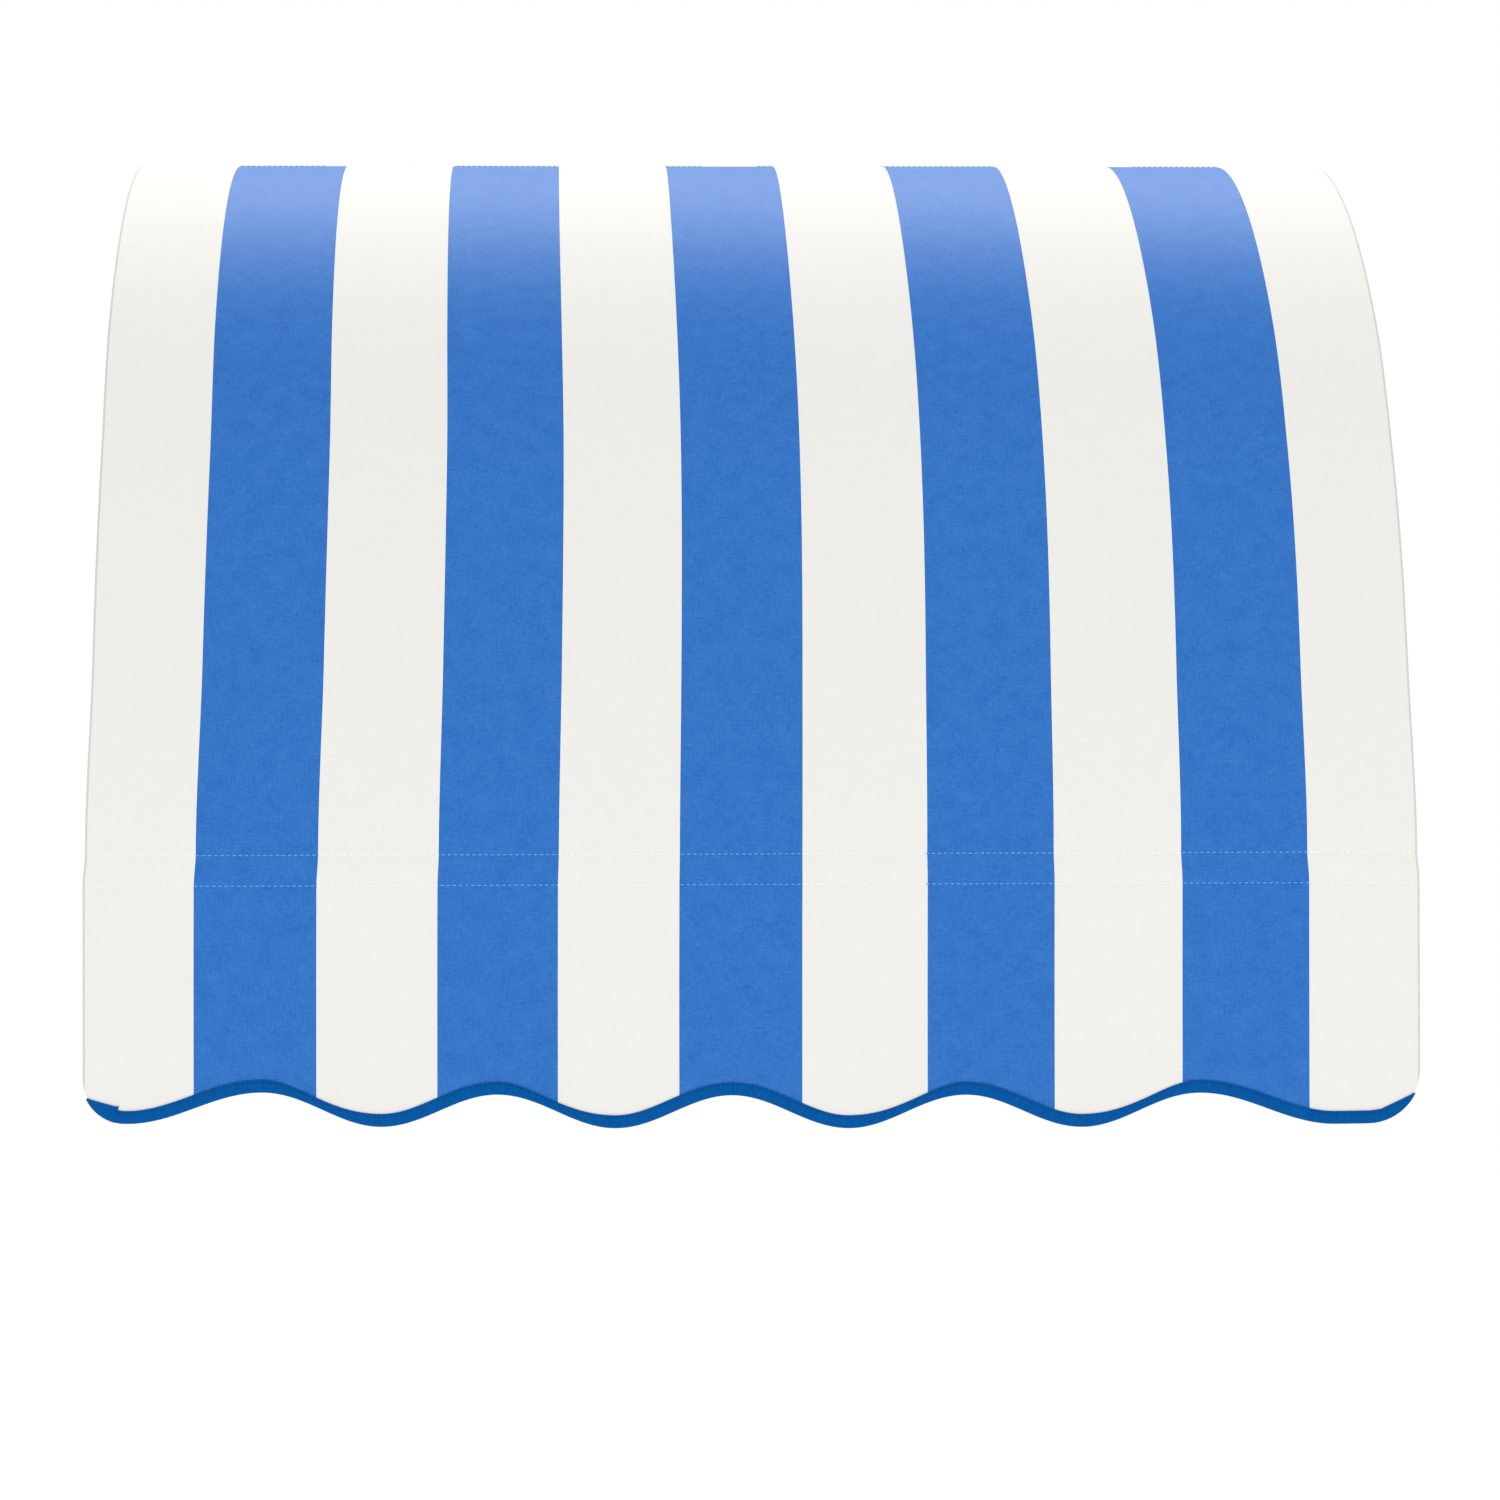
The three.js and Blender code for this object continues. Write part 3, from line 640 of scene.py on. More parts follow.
def stripe_edges():
    """Where the colour changes, from left to right."""
    span = (STRIPE_EDGES - 1) / 2 * STRIPE
    edges = []
    for i in range(STRIPE_EDGES):
        x = i * STRIPE - span
        drift = STRIPE_DRIFT * max(math.cos(math.pi * x / span / 2), 0.0) ** 1.5
        edges.append(x - drift - STRIPE_LEAN * math.sin(math.pi * x / span))
    return edges


def in_notch(x):
    return any(low < x < high for low, high in notches())


def stripe_look(x):
    """1 where the stripe is blue."""
    return sum(edge < x for edge in stripe_edges()) % 2


def cloth_look(x):
    """The cover's material in a column: 0 white, 1 blue, 2 painted shade along the edges of the side
    hems.
    """
    edge = HALF_WIDTH - (CLOTH + LAYER_GAP) / 2 - SIDE_EDGE_SHADE
    return 2 if abs(x) > edge else stripe_look(x)


BRACKET_NODES = ("head_bracket_left", "head_bracket_middle", "head_bracket_right")


def notches():
    """Where the head pocket is cut away, as ranges of x."""
    found = [(-HALF_WIDTH, -POCKET_HALF), (POCKET_HALF, HALF_WIDTH)]
    for name in BRACKET_NODES:
        low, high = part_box(name)
        found.append((low.x - NOTCH_MARGIN, high.x + NOTCH_MARGIN))
    return found


def cover_columns():
    """Columns over the width as (x, depth under the outer face, place on the flat cloth)."""
    fold = (CLOTH + LAYER_GAP) / 2
    side = HALF_WIDTH - fold
    inner = side - SIDE_EDGE_SHADE
    cuts = [x for pair in notches() for x in pair if abs(x) < side]
    for name, sign in SIDES.items():
        turns = [math.pi / 2 * i / CORNER_STEPS for i in range(CORNER_STEPS - 1)]
        cuts += [sign * (HALF_WIDTH - CORNER_RADII[name] * (1 - math.sin(a))) for a in turns]
    stops = sorted({-side, -inner, inner, side, *stripe_edges(), *cuts})
    xs = [stops[0]]
    for before, after in zip(stops, stops[1:]):
        count = max(round((after - before) / COLUMN_STEP), 1)
        xs += [before + (after - before) * (i + 1) / count for i in range(count)]
    columns = [(x, 0.0, x) for x in xs]
    hem = []
    for i in range(1, FOLD_STEPS + 1):
        turn = math.pi * i / FOLD_STEPS
        hem.append((side + fold * math.sin(turn), fold * (1 - math.cos(turn)), side + fold * turn))
    for i in range(1, 5):
        into = (SIDE_HEM - fold) * i / 4
        hem.append((side - into, 2 * fold, side + fold * math.pi + into))
    mirrored = [(-x, depth, -u) for x, depth, u in reversed(hem)]
    return mirrored + columns + hem


def pulled(x, rise):
    """Where the pull of the frame leaves x, at this rise along the cloth over the front bar's level."""
    pinch = BAR_PINCH * smooth((rise + HEM_STEP) / (2 * HEM_STEP))
    pinch += ARC_PINCH * smooth((rise - HEM_STEP) / PINCH_RISE)
    pinch -= TOP_FLARE * smooth((rise - WANDER_RISE) / PINCH_RISE)
    stray = WANDER * (hump(rise - WANDER_RISE, WANDER_REACH) - 0.4)
    inside = 1 - 0.75 * min(abs(x) / HALF_WIDTH, 1.0) ** 4
    return x * (1 - pinch) + stray * inside


BAR_BULGE = 0.0006  # the cloth stands out over the bar
SEAM_DIP = 0.00045  # and dips at the seams beside it
PUCKER = 0.00022
SLACK = 0.00035
SWAY = 0.0018  # of the valance's cut edge, to and fro
SWAY_BACK = 0.0006


def relief(x, rise, hang):
    """How far the cloth stands out at x. Rise is along the cloth over the front bar's level, and hang
    goes from 0 below the bar pocket to 1 at the cut edge."""
    over_bar = BAR_BULGE * math.cos(math.pi / 2 * min(abs(rise) / STITCH_OFFSET, 1.0)) ** 2
    to_seam = abs(rise) - STITCH_OFFSET
    dip = SEAM_DIP * hump(to_seam, 0.0017)
    pucker = PUCKER * noise.noise(Vector((x * 160, rise * 40, 0.5))) * hump(to_seam, 0.009)
    slack = SLACK * noise.noise(Vector((x * 6, rise * 7, 3.0)))
    sway = hang ** 1.5 * (SWAY * noise.noise(Vector((x * 7, 1.5, 0.0))) + SWAY_BACK)
    return over_bar - dip + pucker + slack - sway


def upper_rows(section, rises, taut, columns):
    """The cover's rows along its section. The first ones, round the head bar, are taut."""
    rows = []
    for i, (place, rise) in enumerate(zip(section, rises)):
        out = outward(section, i)
        row = []
        for x, depth, _ in columns:
            stand = relief(x, rise, 0.0) if i >= taut else 0.0
            row.append(Vector((pulled(x, rise), *(place + (stand - depth) * out))))
        rows.append(row)
    return rows


def valance_rows(top, columns):
    """The rows from below the height top down to the cut edge."""
    rows = []
    for i in range(1, VALANCE_STEPS + 1):
        hang = i / VALANCE_STEPS
        row = []
        for x, depth, _ in columns:
            rise = top + (cut_edge(x) - top) * hang - ARC_Z
            stand = relief(x, rise, hang)
            row.append(Vector((pulled(x, rise), depth - stand - COVER_RADIUS, ARC_Z + rise)))
        rows.append(row)
    return rows


def build_cover():
    pocket = pocket_section()
    arc = arc_section()
    section = pocket + arc + valance_section()
    along = lengths(section)
    bar_level = along[len(pocket) + len(arc)]
    columns = cover_columns()
    rows = upper_rows(section, [bar_level - s for s in along], len(pocket), columns)
    flats = [[(u, -s) for _, _, u in columns] for s in along]
    top = section[-1].y
    hanging = valance_rows(top, columns)
    for row in hanging:
        flats.append([(u, point.z - top - along[-1]) for (_, _, u), point in zip(columns, row)])
    open_rows = count_open_rows(pocket)
    middles = [(a[0] + b[0]) / 2 for a, b in zip(columns, columns[1:])]
    gaps = [in_notch(x) for x in middles]
    looks = [cloth_look(x) for x in middles]
    mesh = sheet_mesh(
        "cover", rows + hanging, flats, lambda r, c: r >= open_rows or not gaps[c], lambda c: looks[c])
    cloths = [WHITE_CLOTH, BLUE_CLOTH, WHITE_EDGE_SHADE]
    cover = place_sheet(mesh, CLOTH, cloths, "awning_cloth", "canopy_cloth")
    return cover, (2 * (HALF_WIDTH + SIDE_HEM), along[-1] + top - CUT_EDGE_Z)


def count_open_rows(pocket):
    """How many rows of the section a notch takes away: up to just behind the head bar's top."""
    bar = Vector((HEAD.y, HEAD.z))
    turns = [math.atan2(*(place - bar)) for place in pocket]
    return min(i for i, turn in enumerate(turns) if 0 <= turn <= NOTCH_TURN)


# The front bar's pocket

def pocket_strip_section():
    """From the upper hem round the back of the front bar to the lower hem, as (y, z)."""
    bar = Vector((FRONT.y, FRONT.z))
    wrap = size("front_bar").z / 2 + BAR_PLAY + CLOTH / 2
    inside = -(PROJECTION - 1.5 * CLOTH - LAYER_GAP - 0.0005)
    seam = Vector((inside, ARC_Z + STITCH_OFFSET))
    towards = seam - bar
    leave = angle_of(towards) - math.acos(wrap / towards.length)
    touch = bar + wrap * direction(leave)
    hem = [Vector((inside, seam.y + POCKET_HEM * t)) for t in (1.0, 0.5)]
    upper = hem + [seam] + [seam.lerp(touch, t) for t in (0.15, 0.4, 0.7, 1.0)]
    half = turn_round(bar, wrap, leave, 0.0, 8)
    back = [bar + Vector((wrap, 0))]
    top = upper + half
    mirror = [Vector((p.x, 2 * ARC_Z - p.y)) for p in reversed(top)]
    return top + back + mirror


def build_bar_pocket():
    section = pocket_strip_section()
    along = lengths(section)
    count = round(2 * POCKET_HALF / 0.008)
    xs = [POCKET_HALF * (2 * i / count - 1) for i in range(count + 1)]
    rows = []
    for i, place in enumerate(section):
        out = outward(section, i)
        lift = [0.00018 * noise.noise(Vector((x * 60, along[i] * 60, 7.0))) for x in xs]
        rows.append([Vector((x, *(place + by * out))) for x, by in zip(xs, lift)])
    flats = [[(x, s) for x in xs] for s in along]
    mesh = sheet_mesh("bar_pocket_strip", rows, flats)
    strip = place_sheet(mesh, CLOTH, [WHITE_CLOTH], "awning_cloth", "bar_pocket")
    return strip, (2 * POCKET_HALF, along[-1])


# Binding tape

# Where each trimmed end leaves the tape's width: from the side, and over the lowest line
TAPE_ENDS = {"left": (0.025, 0.010), "right": (0.029, 0.0118)}
LAP_START = (0.025, 0.0132)  # the same for the lapped piece at the left corner


def trimmed_width(place, into, start, width):
    """How wide the tape is here: up to the straight line that its corner is trimmed along."""
    name = side_of(place.x)
    side = SIDES[name]
    corner = TAPE_LOW.z + bow(side * HALF_WIDTH)
    tip = HALF_WIDTH - corner_inset(name, TAPE_END_RISES[name])
    low = Vector((side * (HALF_WIDTH + TAPE_FOLD - start[0]), corner + start[1]))
    line = Vector((side * tip, corner + TAPE_END_RISES[name] + TAPE_TIP)) - low
    reach = (low - place).cross(line) / into.cross(line)
    return min(max(reach, LEAST_TAPE), width) if abs(place.x) > abs(low.x) else width


def tape_section(width, spread):
    """A folded tape in its own section: (into the cloth, out of its middle plane)."""
    pressed = spread * 0.9
    legs = [(width, pressed), (width * 0.82, pressed * 0.94)]
    legs += [(width * share, spread) for share in (0.6, 0.3, 0.08)]
    turns = [math.pi * i / 8 for i in range(9)]
    round_edge = [(-spread * math.sin(t), spread * math.cos(t)) for t in turns]
    return legs + round_edge + [(into, -out) for into, out in reversed(legs)]


def sway_at(place):
    """How far the cover's middle plane stands back at the cut edge."""
    return relief(place.x, place.y - ARC_Z, 1.0)


def build_tape(name, line, widths, spread, thickness, *replaced):
    rows = []
    flats = []
    along = lengths([place for place, _ in line])
    for (place, into), width, s in zip(line, widths, along):
        section = tape_section(width, spread)
        row = []
        for inward, out in section:
            spot = place + inward * into
            x = pulled(spot.x, spot.y - ARC_Z)
            row.append(Vector((x, -COVER_RADIUS - out - sway_at(place), spot.y)))
        rows.append(row)
        across = lengths([Vector(p) for p in section])
        flats.append([(s, v) for v in across])
    mesh = sheet_mesh(name, rows, flats)
    return place_sheet(mesh, thickness, [BLUE_TAPE], "binding_tape", *replaced)


def build_binding():
    line = edge_line()
    width = TAPE_WIDTH - TAPE_FOLD
    spread = TAPE_FOLD - TAPE / 2
    widths = [trimmed_width(place, into, TAPE_ENDS[side_of(place.x)], width) for place, into in line]
    tape = build_tape("edge_tape", line, widths, spread, TAPE, "edge_binding")
    lap_line = [(place, into) for place, into in edge_line(0.002) if place.x < LAP_START[0] - HALF_WIDTH]
    lap_width = LAP_START[1] - TAPE_FOLD
    lap_widths = [trimmed_width(place, into, LAP_START, lap_width) for place, into in lap_line]
    lap = build_tape("edge_tape_lap", lap_line, lap_widths, spread + LAP * 1.1, LAP)
    return tape, lap, line, widths


# Stitches

def dash(centre, along, out, length, width, height, steps=4, sides=6):
    """Rings of one rounded stitch."""
    across = along.cross(out).normalized()
    rings = [[centre - along * length / 2]]
    for i in range(1, steps + 1):
        t = 2 * i / (steps + 1) - 1
        fat = math.sqrt(1 - t * t) ** 0.7
        rings.append([
            centre + along * t * length / 2 + across * (fat * width / 2 * math.cos(turn))
            + out * (fat * height * math.sin(turn)) for turn in full_turn(sides)])
    return rings + [[centre + along * length / 2]]


def stitches(name, places, materials, length=STITCH_LENGTH, width=STITCH_WIDTH):
    """One piece of many dashes. Places holds (centre, along, out, which material)."""
    chance = random.Random(11)
    points = []
    faces = []
    marks = []
    for centre, along, out, look in places:
        lean = Matrix.Rotation(math.radians(chance.uniform(-4, 4)), 3, out)
        rings = dash(
            centre, lean @ along, out, length * chance.uniform(0.9, 1.06), width, STITCH_HEIGHT)
        made = ring_faces(rings, first=len(points))
        points += [point for ring in rings for point in ring]
        faces += made
        marks += [look] * len(made)
    mesh = mesh_of(name, points, faces, looks=marks)
    recalculate(mesh)
    return place_object(mesh, materials, "awning_cloth")


def row_places(rise, half, lift, face=1):
    """Stitches across the cover, at a height along the cloth over the front bar's level. Face is 1
    outside, where the thread takes the stripe's look, and -1 inside."""
    angle = max(rise, 0.0) / COVER_RADIUS
    out = Vector((0, -math.cos(angle), math.sin(angle)))
    spot = on_arc(COVER_RADIUS, angle) + Vector((0, min(rise, 0.0)))
    count = int(2 * half / STITCH_PITCH)
    places = []
    for i in range(count):
        x = (i + 0.5 - count / 2) * STITCH_PITCH
        centre = Vector((pulled(x, rise), *spot)) + out * (relief(x, rise, 0.0) + lift)
        places.append((centre, Vector((1, 0, 0)), out * face, stripe_look(x) if face > 0 else 0))
    return places


def build_stitches():
    """The bar pocket's two rows, outside and inside, and the head pocket's seam."""
    outer = []
    inner = []
    over = CLOTH / 2 + STITCH_SINK
    under = -(2.5 * CLOTH + LAYER_GAP)
    for rise in (STITCH_OFFSET, -STITCH_OFFSET):
        outer += row_places(rise, HALF_WIDTH - SEAM_MARGIN, over)
        inner += row_places(rise, POCKET_HALF - SEAM_MARGIN, under, face=-1)
    seam = (HEAD_ANGLE - (HEAD_FLAP + FLAP_HEM / 3) / BAR_REACH) * COVER_RADIUS
    head = row_places(seam, POCKET_HALF - SEAM_MARGIN, over)
    kept = [place for place in head if not in_notch(place[0].x)]
    rows = {"pocket_stitches": outer, "pocket_stitches_inside": inner, "head_seam_stitches": kept}
    return [stitches(name, places, [THREAD_ON_WHITE, THREAD_ON_BLUE]) for name, places in rows.items()]


def build_tape_stitches(line, widths):
    """Along the tape's upper edge, on both faces."""
    along = lengths([place for place, _ in line])
    spread = TAPE_FOLD - 0.00005
    places = []
    for i in range(int(along[-1] / TAPE_STITCH_PITCH)):
        s = (i + 0.5) * TAPE_STITCH_PITCH
        k = max(j for j, value in enumerate(along[:-1]) if value <= s)
        t = (s - along[k]) / (along[k + 1] - along[k])
        width = widths[k] + (widths[k + 1] - widths[k]) * t
        place = line[k][0].lerp(line[k + 1][0], t)
        into = line[k][1].lerp(line[k + 1][1], t).normalized()
        if width < STITCHED_TAPE:
            continue
        spot = place + into * (width - TAPE_STITCH_INSET)
        run = Vector((into.y, 0, -into.x))
        for face in (-1, 1):
            x = pulled(spot.x, spot.y - ARC_Z)
            centre = Vector((x, face * spread - COVER_RADIUS - sway_at(place), spot.y))
            places.append((centre, run, Vector((0, face, 0)), 0))
    return stitches("edge_tape_stitches", places, [TAPE_THREAD], TAPE_STITCH_LENGTH, TAPE_STITCH_WIDTH)


# Straps

STRAP = 0.0009
STRAP_WIDTH = 0.020
STRAP_TAB = 0.012
STRAP_PLAY = 0.0003  # beside the rib
STRAP_DROP = 0.0008  # of the loop under the rib
STRAP_GAP = 0.0007  # from its tab to the cover's hem
STRAP_BEND = 0.0014
STRAP_STEPS = 8  # over its width


def strap_section(radius):
    """In the rib's cross-section, as (towards the side, away from the arc's centre)."""
    leg = radius + STRAP_PLAY + STRAP / 2
    under = PROJECTION - BAR_REACH - CLOTH - LAYER_GAP - STRAP_GAP
    outer = -leg - STRAP_BEND
    start = under - STRAP_BEND
    points = [Vector((outer - STRAP_TAB * (1 - i / 5), under)) for i in range(5)]
    bend = [math.radians(90 - 90 * i / 4) for i in range(5)]
    points += [Vector((outer, start)) + STRAP_BEND * direction(a) for a in bend]
    points += [Vector((-leg, start - (start + STRAP_DROP) * i / 4)) for i in range(1, 4)]
    turns = [math.pi + math.pi * i / 20 for i in range(21)]
    points += [leg * direction(a) - Vector((0, STRAP_DROP)) for a in turns]
    points += [Vector((leg, (under + STRAP_DROP) * i / 4 - STRAP_DROP)) for i in range(1, 5)]
    return points


def build_strap(level, side_name, side):
    node_name = f"side_strap_{level}_{side_name}"
    centre = middle(node_name)
    rib = middle(f"rib_{side_name}")
    angle = math.atan2(centre.z - ARC_Z, -centre.y)
    section = strap_section(size(f"rib_{side_name}").x / 2)
    shares = [i / STRAP_STEPS for i in range(STRAP_STEPS + 1)]
    rows = []
    for place in section:
        row = []
        for share in shares:
            turn = angle + STRAP_WIDTH / BAR_REACH * (share - 0.5)
            row.append(Vector((rib.x + side * place.x, *on_arc(BAR_REACH + place.y, turn))))
        rows.append(row)
    flats = [[(STRAP_WIDTH * share, s) for share in shares] for s in lengths(section)]
    mesh = sheet_mesh(f"strap_{level}_{side_name}", rows, flats)
    place_sheet(mesh, STRAP, [WEBBING], "webbing", node_name)


# Tubes

TUBE_TURNS = 40
TUBE_WALL = 0.0012
CROSS_WALL = 0.0010
RIM = 0.0003  # a tube's broken end edge
CRIMPS = (0.006, 0.013)  # from a tube's end to the dents that hold its plug
DENT = 0.0008
DENT_REACH = 0.0022
RIB_START = 0.0179  # from the bolt's axis, along the arc


def build_tube(node_name, line, across, wall, crimps):
    """A round tube along a line of points. Across is square to the whole line."""
    radius = min(size(node_name)) / 2
    along = lengths(line)
    total = along[-1]
    outer = []
    inner = []
    for i, centre in enumerate(line):
        ahead = (line[min(i + 1, len(line) - 1)] - line[max(i - 1, 0)]).normalized()
        other = ahead.cross(across).normalized()
        from_end = min(along[i], total - along[i])
        rim = RIM if i in (0, len(line) - 1) else 0.0
        deepest = DENT * sum(hump(from_end - place, DENT_REACH) for place in crimps)
        outer.append([])
        inner.append([])
        for turn in full_turn(TUBE_TURNS):
            way = across * math.cos(turn) + other * math.sin(turn)
            dent = deepest * max(math.cos(4 * turn), 0.0) ** 2
            outer[-1].append(centre + way * (radius - rim - dent))
            inner[-1].append(centre + way * (radius - wall + rim * 0.5 - dent))
    mesh = ring_mesh(f"{node_name}_tube", outer + inner[::-1], closed=True)
    place_object(mesh, [TUBE_STEEL], "galvanised_tube", node_name)


def spaced_line(start, end, ends=0.001, near=0.022, step=0.05):
    """Points from start to end, close together near both ends."""
    total = (end - start).length
    fine = [ends * i for i in range(round(near / ends) + 1)]
    count = max(round((total - 2 * near) / step), 1)
    coarse = [near + (total - 2 * near) * i / count for i in range(1, count)]
    marks = [RIM, *fine[1:], *coarse, *(total - m for m in reversed(fine[1:])), total - RIM]
    ways = [0.0, *marks, total]
    return [start.lerp(end, way / total) for way in ways]


def build_straight_tube(node_name, wall, crimps=()):
    centre = middle(node_name)
    extent = size(node_name)
    axis = max(range(3), key=lambda i: extent[i])
    half = Vector()
    half[axis] = extent[axis] / 2
    build_tube(node_name, spaced_line(centre - half, centre + half), Vector((0, 0, 1)), wall, crimps)


def build_rib(name):
    node_name = f"rib_{name}"
    x = middle(node_name).x
    first = RIB_START / BAR_REACH
    last = HEAD_ANGLE - first
    line = []
    for point in spaced_line(Vector(), Vector(((last - first) * BAR_REACH, 0, 0)), step=0.012):
        line.append(Vector((x, *on_arc(BAR_REACH, first + point.x / BAR_REACH))))
    build_tube(node_name, line, Vector((1, 0, 0)), TUBE_WALL, CRIMPS)


# Fasteners

HEAD_SLOPE = math.tan(math.radians(30))
BOLT_HEAD = 0.0053
BOLT_APOTHEM = 0.0065
BOLT_SHANK = 0.0040
BOLT_PITCH = 0.00125
NUT_HOLE = 0.0041
NUT_CHAMFER = 0.0004
SCREW_HEAD = 0.0022
SCREW_FLANGE = 0.0045
SCREW_SHANK = 0.0021
SCREW_PITCH = 0.0014


def hexagon(apothem):
    """A hexagon's radius, as a function of the turn."""
    return lambda turn: apothem / math.cos((turn + math.pi / 6) % (math.pi / 3) - math.pi / 6)


def turned_rings(profile, place, axis, count=48):
    """Rings round an axis. Each part of the profile is (distance along it, radius as a number or as a
    function of the turn, and if there is a chamfer, the radius where it starts). The corners past that
    radius slope back from the end along axis, or where it is negative, from the other end."""
    side = axis.orthogonal().normalized()
    other = axis.cross(side)
    rings = []
    for reach, radius, *chamfer in profile:
        if radius == 0:
            rings.append([place + axis * reach])
            continue
        ring = []
        for turn in full_turn(count):
            r = radius(turn) if callable(radius) else radius
            back = 0.0
            if chamfer:
                back = math.copysign((r - abs(chamfer[0])) * HEAD_SLOPE, chamfer[0])
            way = side * math.cos(turn) + other * math.sin(turn)
            ring.append(place + axis * (reach - back) + way * r)
        rings.append(ring)
    return rings


def threads(root, crest, start, end, pitch):
    """Ridges along the last part of a bolt."""
    profile = []
    for i in range(int((end - start) / pitch)):
        profile += [(start + pitch * i, root), (start + pitch * (i + 0.5), crest)]
    return profile


def seat_of(node_name, axis, head_height):
    """Where the shank meets the head, which points along axis, and the shank's length."""
    reach = abs(size(node_name).dot(axis)) / 2
    return middle(node_name) + axis * (reach - head_height), 2 * reach - head_height


def place_fastener(node_name, rings, closed=False):
    place_object(ring_mesh(f"{node_name}_hex", rings, closed), [FASTENER], "zinc_fastener", node_name)


def build_bolt(node_name, axis):
    """A hexagon bolt in its CAD solid's place, with a washer face and a chamfer round its head's top."""
    seat, length = seat_of(node_name, axis, BOLT_HEAD)
    flats = hexagon(BOLT_APOTHEM)
    washer = BOLT_APOTHEM * 0.95
    crown = BOLT_APOTHEM * 0.96
    thread_end = -length * 0.45
    profile = [(-length, 0), (-length, BOLT_SHANK * 0.78)]
    profile += threads(BOLT_SHANK * 0.86, BOLT_SHANK, -length + 0.0006, thread_end, BOLT_PITCH)
    profile += [(thread_end + 0.0006, BOLT_SHANK), (0.0, BOLT_SHANK)]
    profile += [
        (0.0, washer), (0.0003, washer), (0.0003, flats), (BOLT_HEAD, flats, crown), (BOLT_HEAD, crown),
        (BOLT_HEAD - 0.0003, crown * 0.9), (BOLT_HEAD - 0.0003, 0)]
    place_fastener(node_name, turned_rings(profile, seat, axis))


def build_screw(node_name, axis):
    """A self-drilling screw with a hexagon on a washer flange."""
    seat, length = seat_of(node_name, axis, SCREW_HEAD)
    apothem = SCREW_FLANGE * 0.66
    flats = hexagon(apothem)
    crown = apothem * 0.95
    root = SCREW_SHANK * 0.8
    profile = [(-length, 0), (-length + 0.002, root)]
    profile += threads(root, SCREW_SHANK, -length + 0.0025, -0.0012, SCREW_PITCH)
    profile += [
        (0.0, SCREW_SHANK), (0.0, SCREW_FLANGE), (0.0004, SCREW_FLANGE),
        (0.0007, SCREW_FLANGE * 0.86), (0.0008, flats), (SCREW_HEAD, flats, crown),
        (SCREW_HEAD, crown), (SCREW_HEAD, 0)]
    place_fastener(node_name, turned_rings(profile, seat, axis, 36))


def build_nut(node_name):
    half = size(node_name).x / 2
    flats = hexagon(BOLT_APOTHEM)
    crown = BOLT_APOTHEM * 0.97
    mouth = NUT_HOLE * 1.08
    profile = [
        (half, crown), (half, flats, crown), (-half, flats, -crown), (-half, crown), (-half, mouth),
        (-half + NUT_CHAMFER, NUT_HOLE), (half - NUT_CHAMFER, NUT_HOLE), (half, mouth)]
    rings = turned_rings(profile, middle(node_name), Vector((1, 0, 0)))
    place_fastener(node_name, rings, closed=True)


# Rounded copies of CAD solids

PLATE_EDGE = 0.0006
EYE_EDGE = 0.0006
PLUG_EDGE = 0.0004
INSERT_EDGE = 0.0002


def rounded(node_name, material, slot, edge):
    """The CAD solid again, with its edges broken by this width. The weighted normals keep the flat
    faces beside those edges evenly shaded."""
    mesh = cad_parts[node_name].data.copy()
    mesh.name = f"{node_name}_body"
    mesh.materials.clear()
    built = bmesh.new()
    built.from_mesh(mesh)
    bmesh.ops.remove_doubles(built, verts=built.verts, dist=0.00001)
    bmesh.ops.dissolve_limit(
        built, angle_limit=math.radians(1), verts=built.verts, edges=built.edges, delimit=set())
    built.to_mesh(mesh)
    built.free()
    mesh.polygons.foreach_set("use_smooth", [True] * len(mesh.polygons))
    mesh.polygons.foreach_set("material_index", [0] * len(mesh.polygons))
    piece = place_object(mesh, [material], slot, node_name)
    bevel = piece.modifiers.new("edges", "BEVEL")
    bevel.width = edge
    bevel.segments = 3
    bevel.limit_method = "ANGLE"
    bevel.angle_limit = math.radians(35)
    settle(piece, math.radians(35))
    normals = piece.modifiers.new("normals", "WEIGHTED_NORMAL")
    normals.keep_sharp = True
    normals.weight = 100


# Stage

FLOOR_DEPTH = 1.6  # below the head bar
FLOOR_RADIUS = 14.0
FLOOR_GLOW = 0.27  # light thrown up from a bright studio floor
WORLD_LIGHT = 0.82
FRONT_LIGHT = 62  # watts
BACK_LIGHT = 165


def build_floor():
    rim = [FLOOR_RADIUS * direction(turn) for turn in full_turn(96)]
    mesh = bpy.data.meshes.new("floor")
    mesh.from_pydata([(*place, -FLOOR_DEPTH) for place in rim], [], [tuple(range(len(rim)))])
    floor = link("floor", mesh)
    material, tree = principled(
        "floor_pale", (0.90, 0.90, 0.90), 0.9, Specular_IOR_Level=0.1, Emission_Color=(1, 1, 1, 1),
        Emission_Strength=FLOOR_GLOW)
    clouds = noise_of(tree, object_places(tree), 3.0, 3.0)
    vary_colour(tree, clouds, (0.89, 0.89, 0.89), (0.91, 0.91, 0.91))
    mesh.materials.append(material)


def build_world(strength):
    """White behind everything, and an even light of its own strength."""
    world = bpy.data.worlds.new("studio")
    bpy.context.scene.world = world
    world.use_nodes = True
    tree = world.node_tree
    tree.nodes.clear()
    seen = node(tree, "ShaderNodeBackground", Color=(1, 1, 1, 1), Strength=1.0)
    light = node(tree, "ShaderNodeBackground", Color=(1, 1, 1, 1), Strength=strength)
    path = node(tree, "ShaderNodeLightPath")
    mixed = tree.nodes.new("ShaderNodeMixShader")
    sources = (path.outputs["Is Camera Ray"], light.outputs[0], seen.outputs[0])
    for socket, source in zip(mixed.inputs, sources):
        tree.links.new(source, socket)
    out = tree.nodes.new("ShaderNodeOutputWorld")
    tree.links.new(mixed.outputs[0], out.inputs["Surface"])


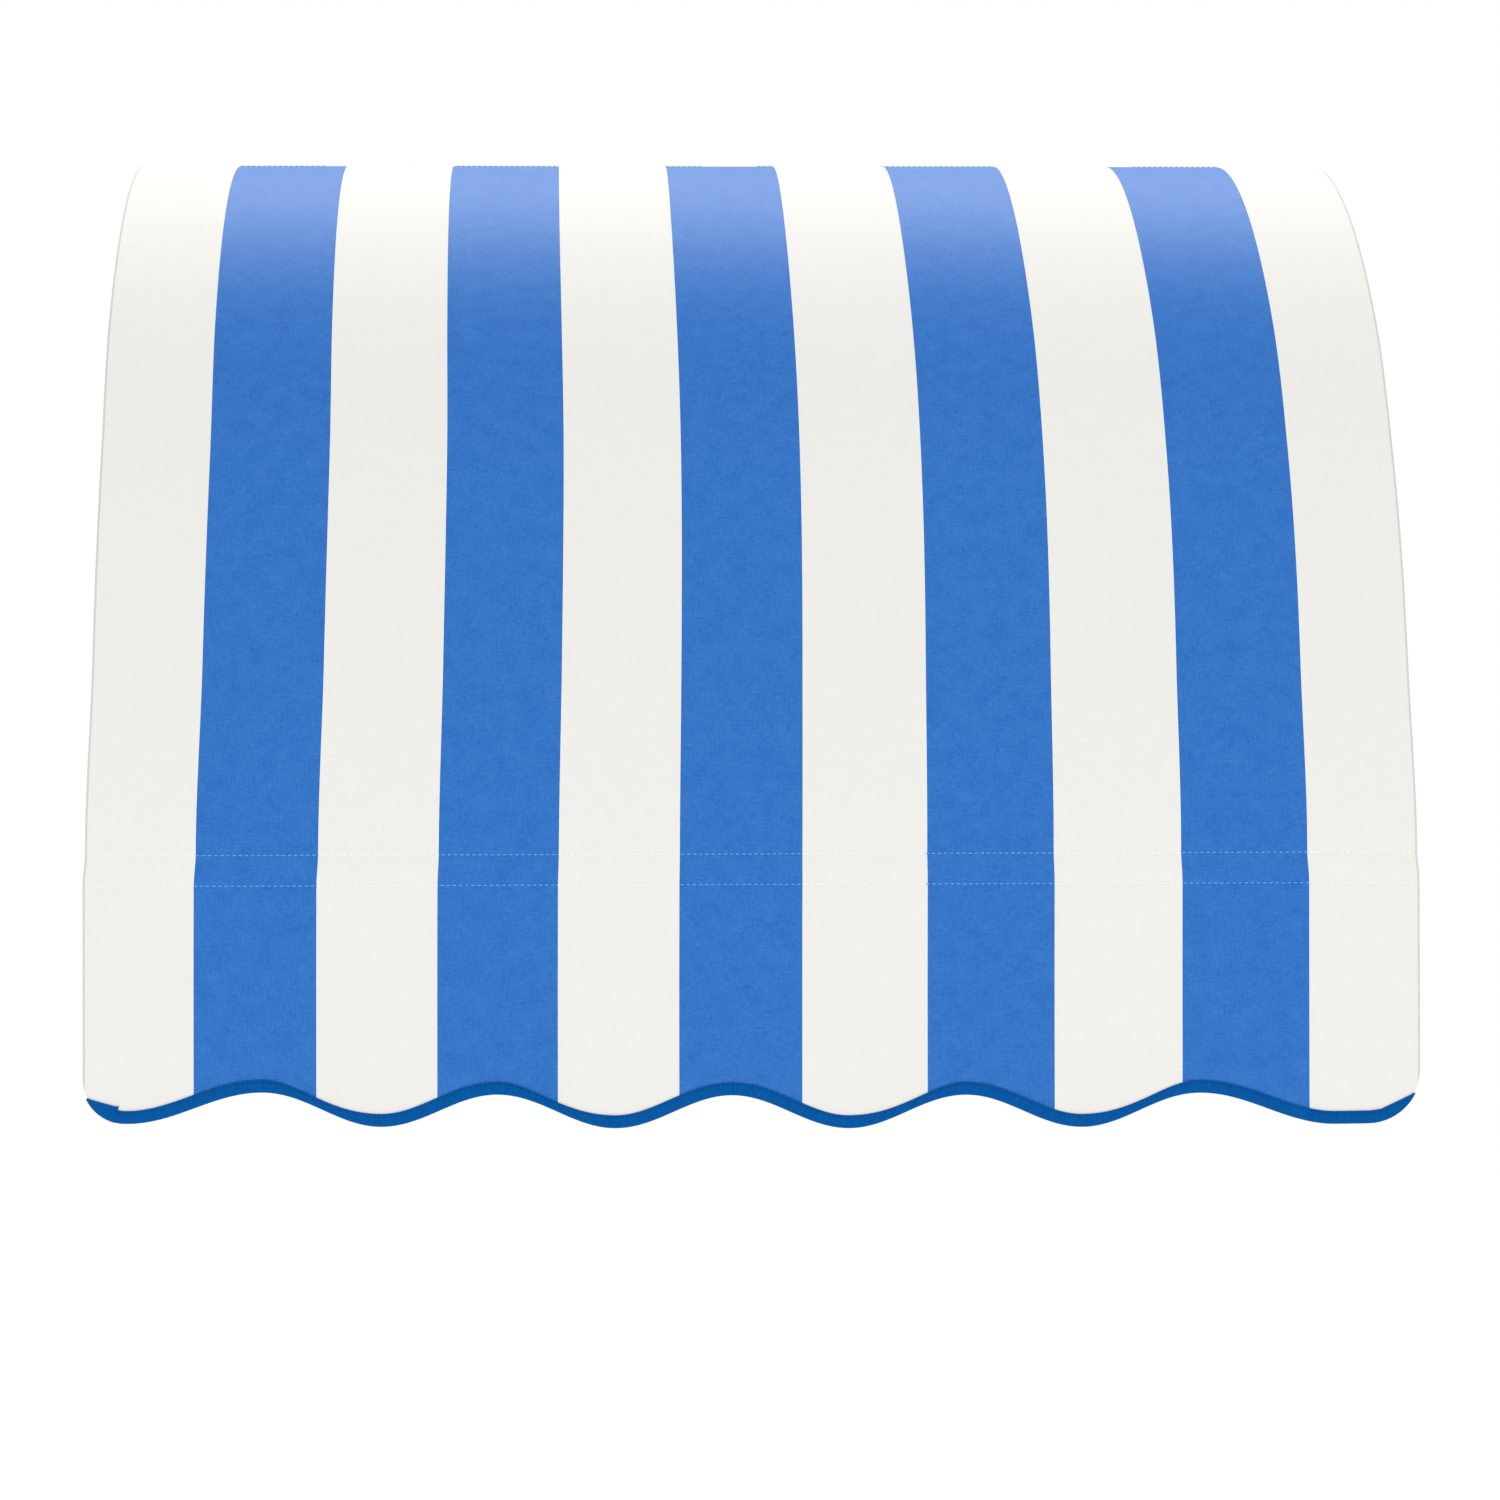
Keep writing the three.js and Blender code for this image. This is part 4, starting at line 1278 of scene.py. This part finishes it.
def softbox(name, place, target, width, height, power):
    data = bpy.data.lights.new(name, "AREA")
    data.shape = "RECTANGLE"
    data.size = width
    data.size_y = height
    data.energy = power
    light = link(name, data)
    way = Vector(target) - Vector(place)
    light.matrix_world = Matrix.Translation(place) @ way.to_track_quat("-Z", "Y").to_matrix().to_4x4()
    light.visible_camera = False


def build_lights():
    heart = Vector((0, -PROJECTION / 2, ARC_Z / 2))
    build_world(WORLD_LIGHT)
    softbox("front_softbox", (0.4, -3.3, 4.4), heart, 4.0, 3.0, FRONT_LIGHT)
    softbox("back_softbox", (0.0, 3.1, 3.4), (0, -0.35, -0.1), 4.5, 1.2, BACK_LIGHT)


# Assembly

def build_side(name, side):
    outwards = Vector((side, 0, 0))
    build_rib(name)
    build_straight_tube(f"arm_{name}", TUBE_WALL, CRIMPS)
    for bolt in ("head_bolt", "corner_bolt", "foot_bolt"):
        build_bolt(f"{bolt}_{name}", outwards)
    build_nut(f"foot_nut_{name}")
    for level in LEVELS:
        build_screw(f"cross_screw_{level}_{name}", outwards)
        rounded(f"cross_plug_{level}_{name}", NYLON, "nylon_plug", PLUG_EDGE)
        build_strap(level, name, side)
    rounded(f"foot_bracket_{name}", PLATE_STEEL, "bracket_steel", PLATE_EDGE)
    for insert in ("head_insert", "front_insert"):
        rounded(f"{insert}_{name}", FASTENER, "zinc_fastener", INSERT_EDGE)
    for eye in ("rib_foot_eye", "rib_top_eye", "arm_front_eye", "arm_back_eye"):
        rounded(f"{eye}_{name}", CAST, "cast_eye", EYE_EDGE)


def build_metal():
    for name in ("head_bar", "front_bar"):
        build_straight_tube(name, TUBE_WALL)
    for level in LEVELS:
        build_straight_tube(f"cross_bar_{level}", CROSS_WALL)
    for name, side in SIDES.items():
        build_side(name, side)
    for name in BRACKET_NODES:
        rounded(name, PLATE_STEEL, "bracket_steel", PLATE_EDGE)
        build_screw(name.replace("bracket", "lock_screw"), Vector((0, 0, -1)))


def build_all():
    make_camera()
    build_lights()
    build_floor()
    cover, flat = build_cover()
    strip, strip_flat = build_bar_pocket()
    tape, lap, line, widths = build_binding()
    seams = [*build_stitches(), build_tape_stitches(line, widths)]
    build_metal()


build_all()
bpy.context.scene.view_settings.view_transform = "Standard"
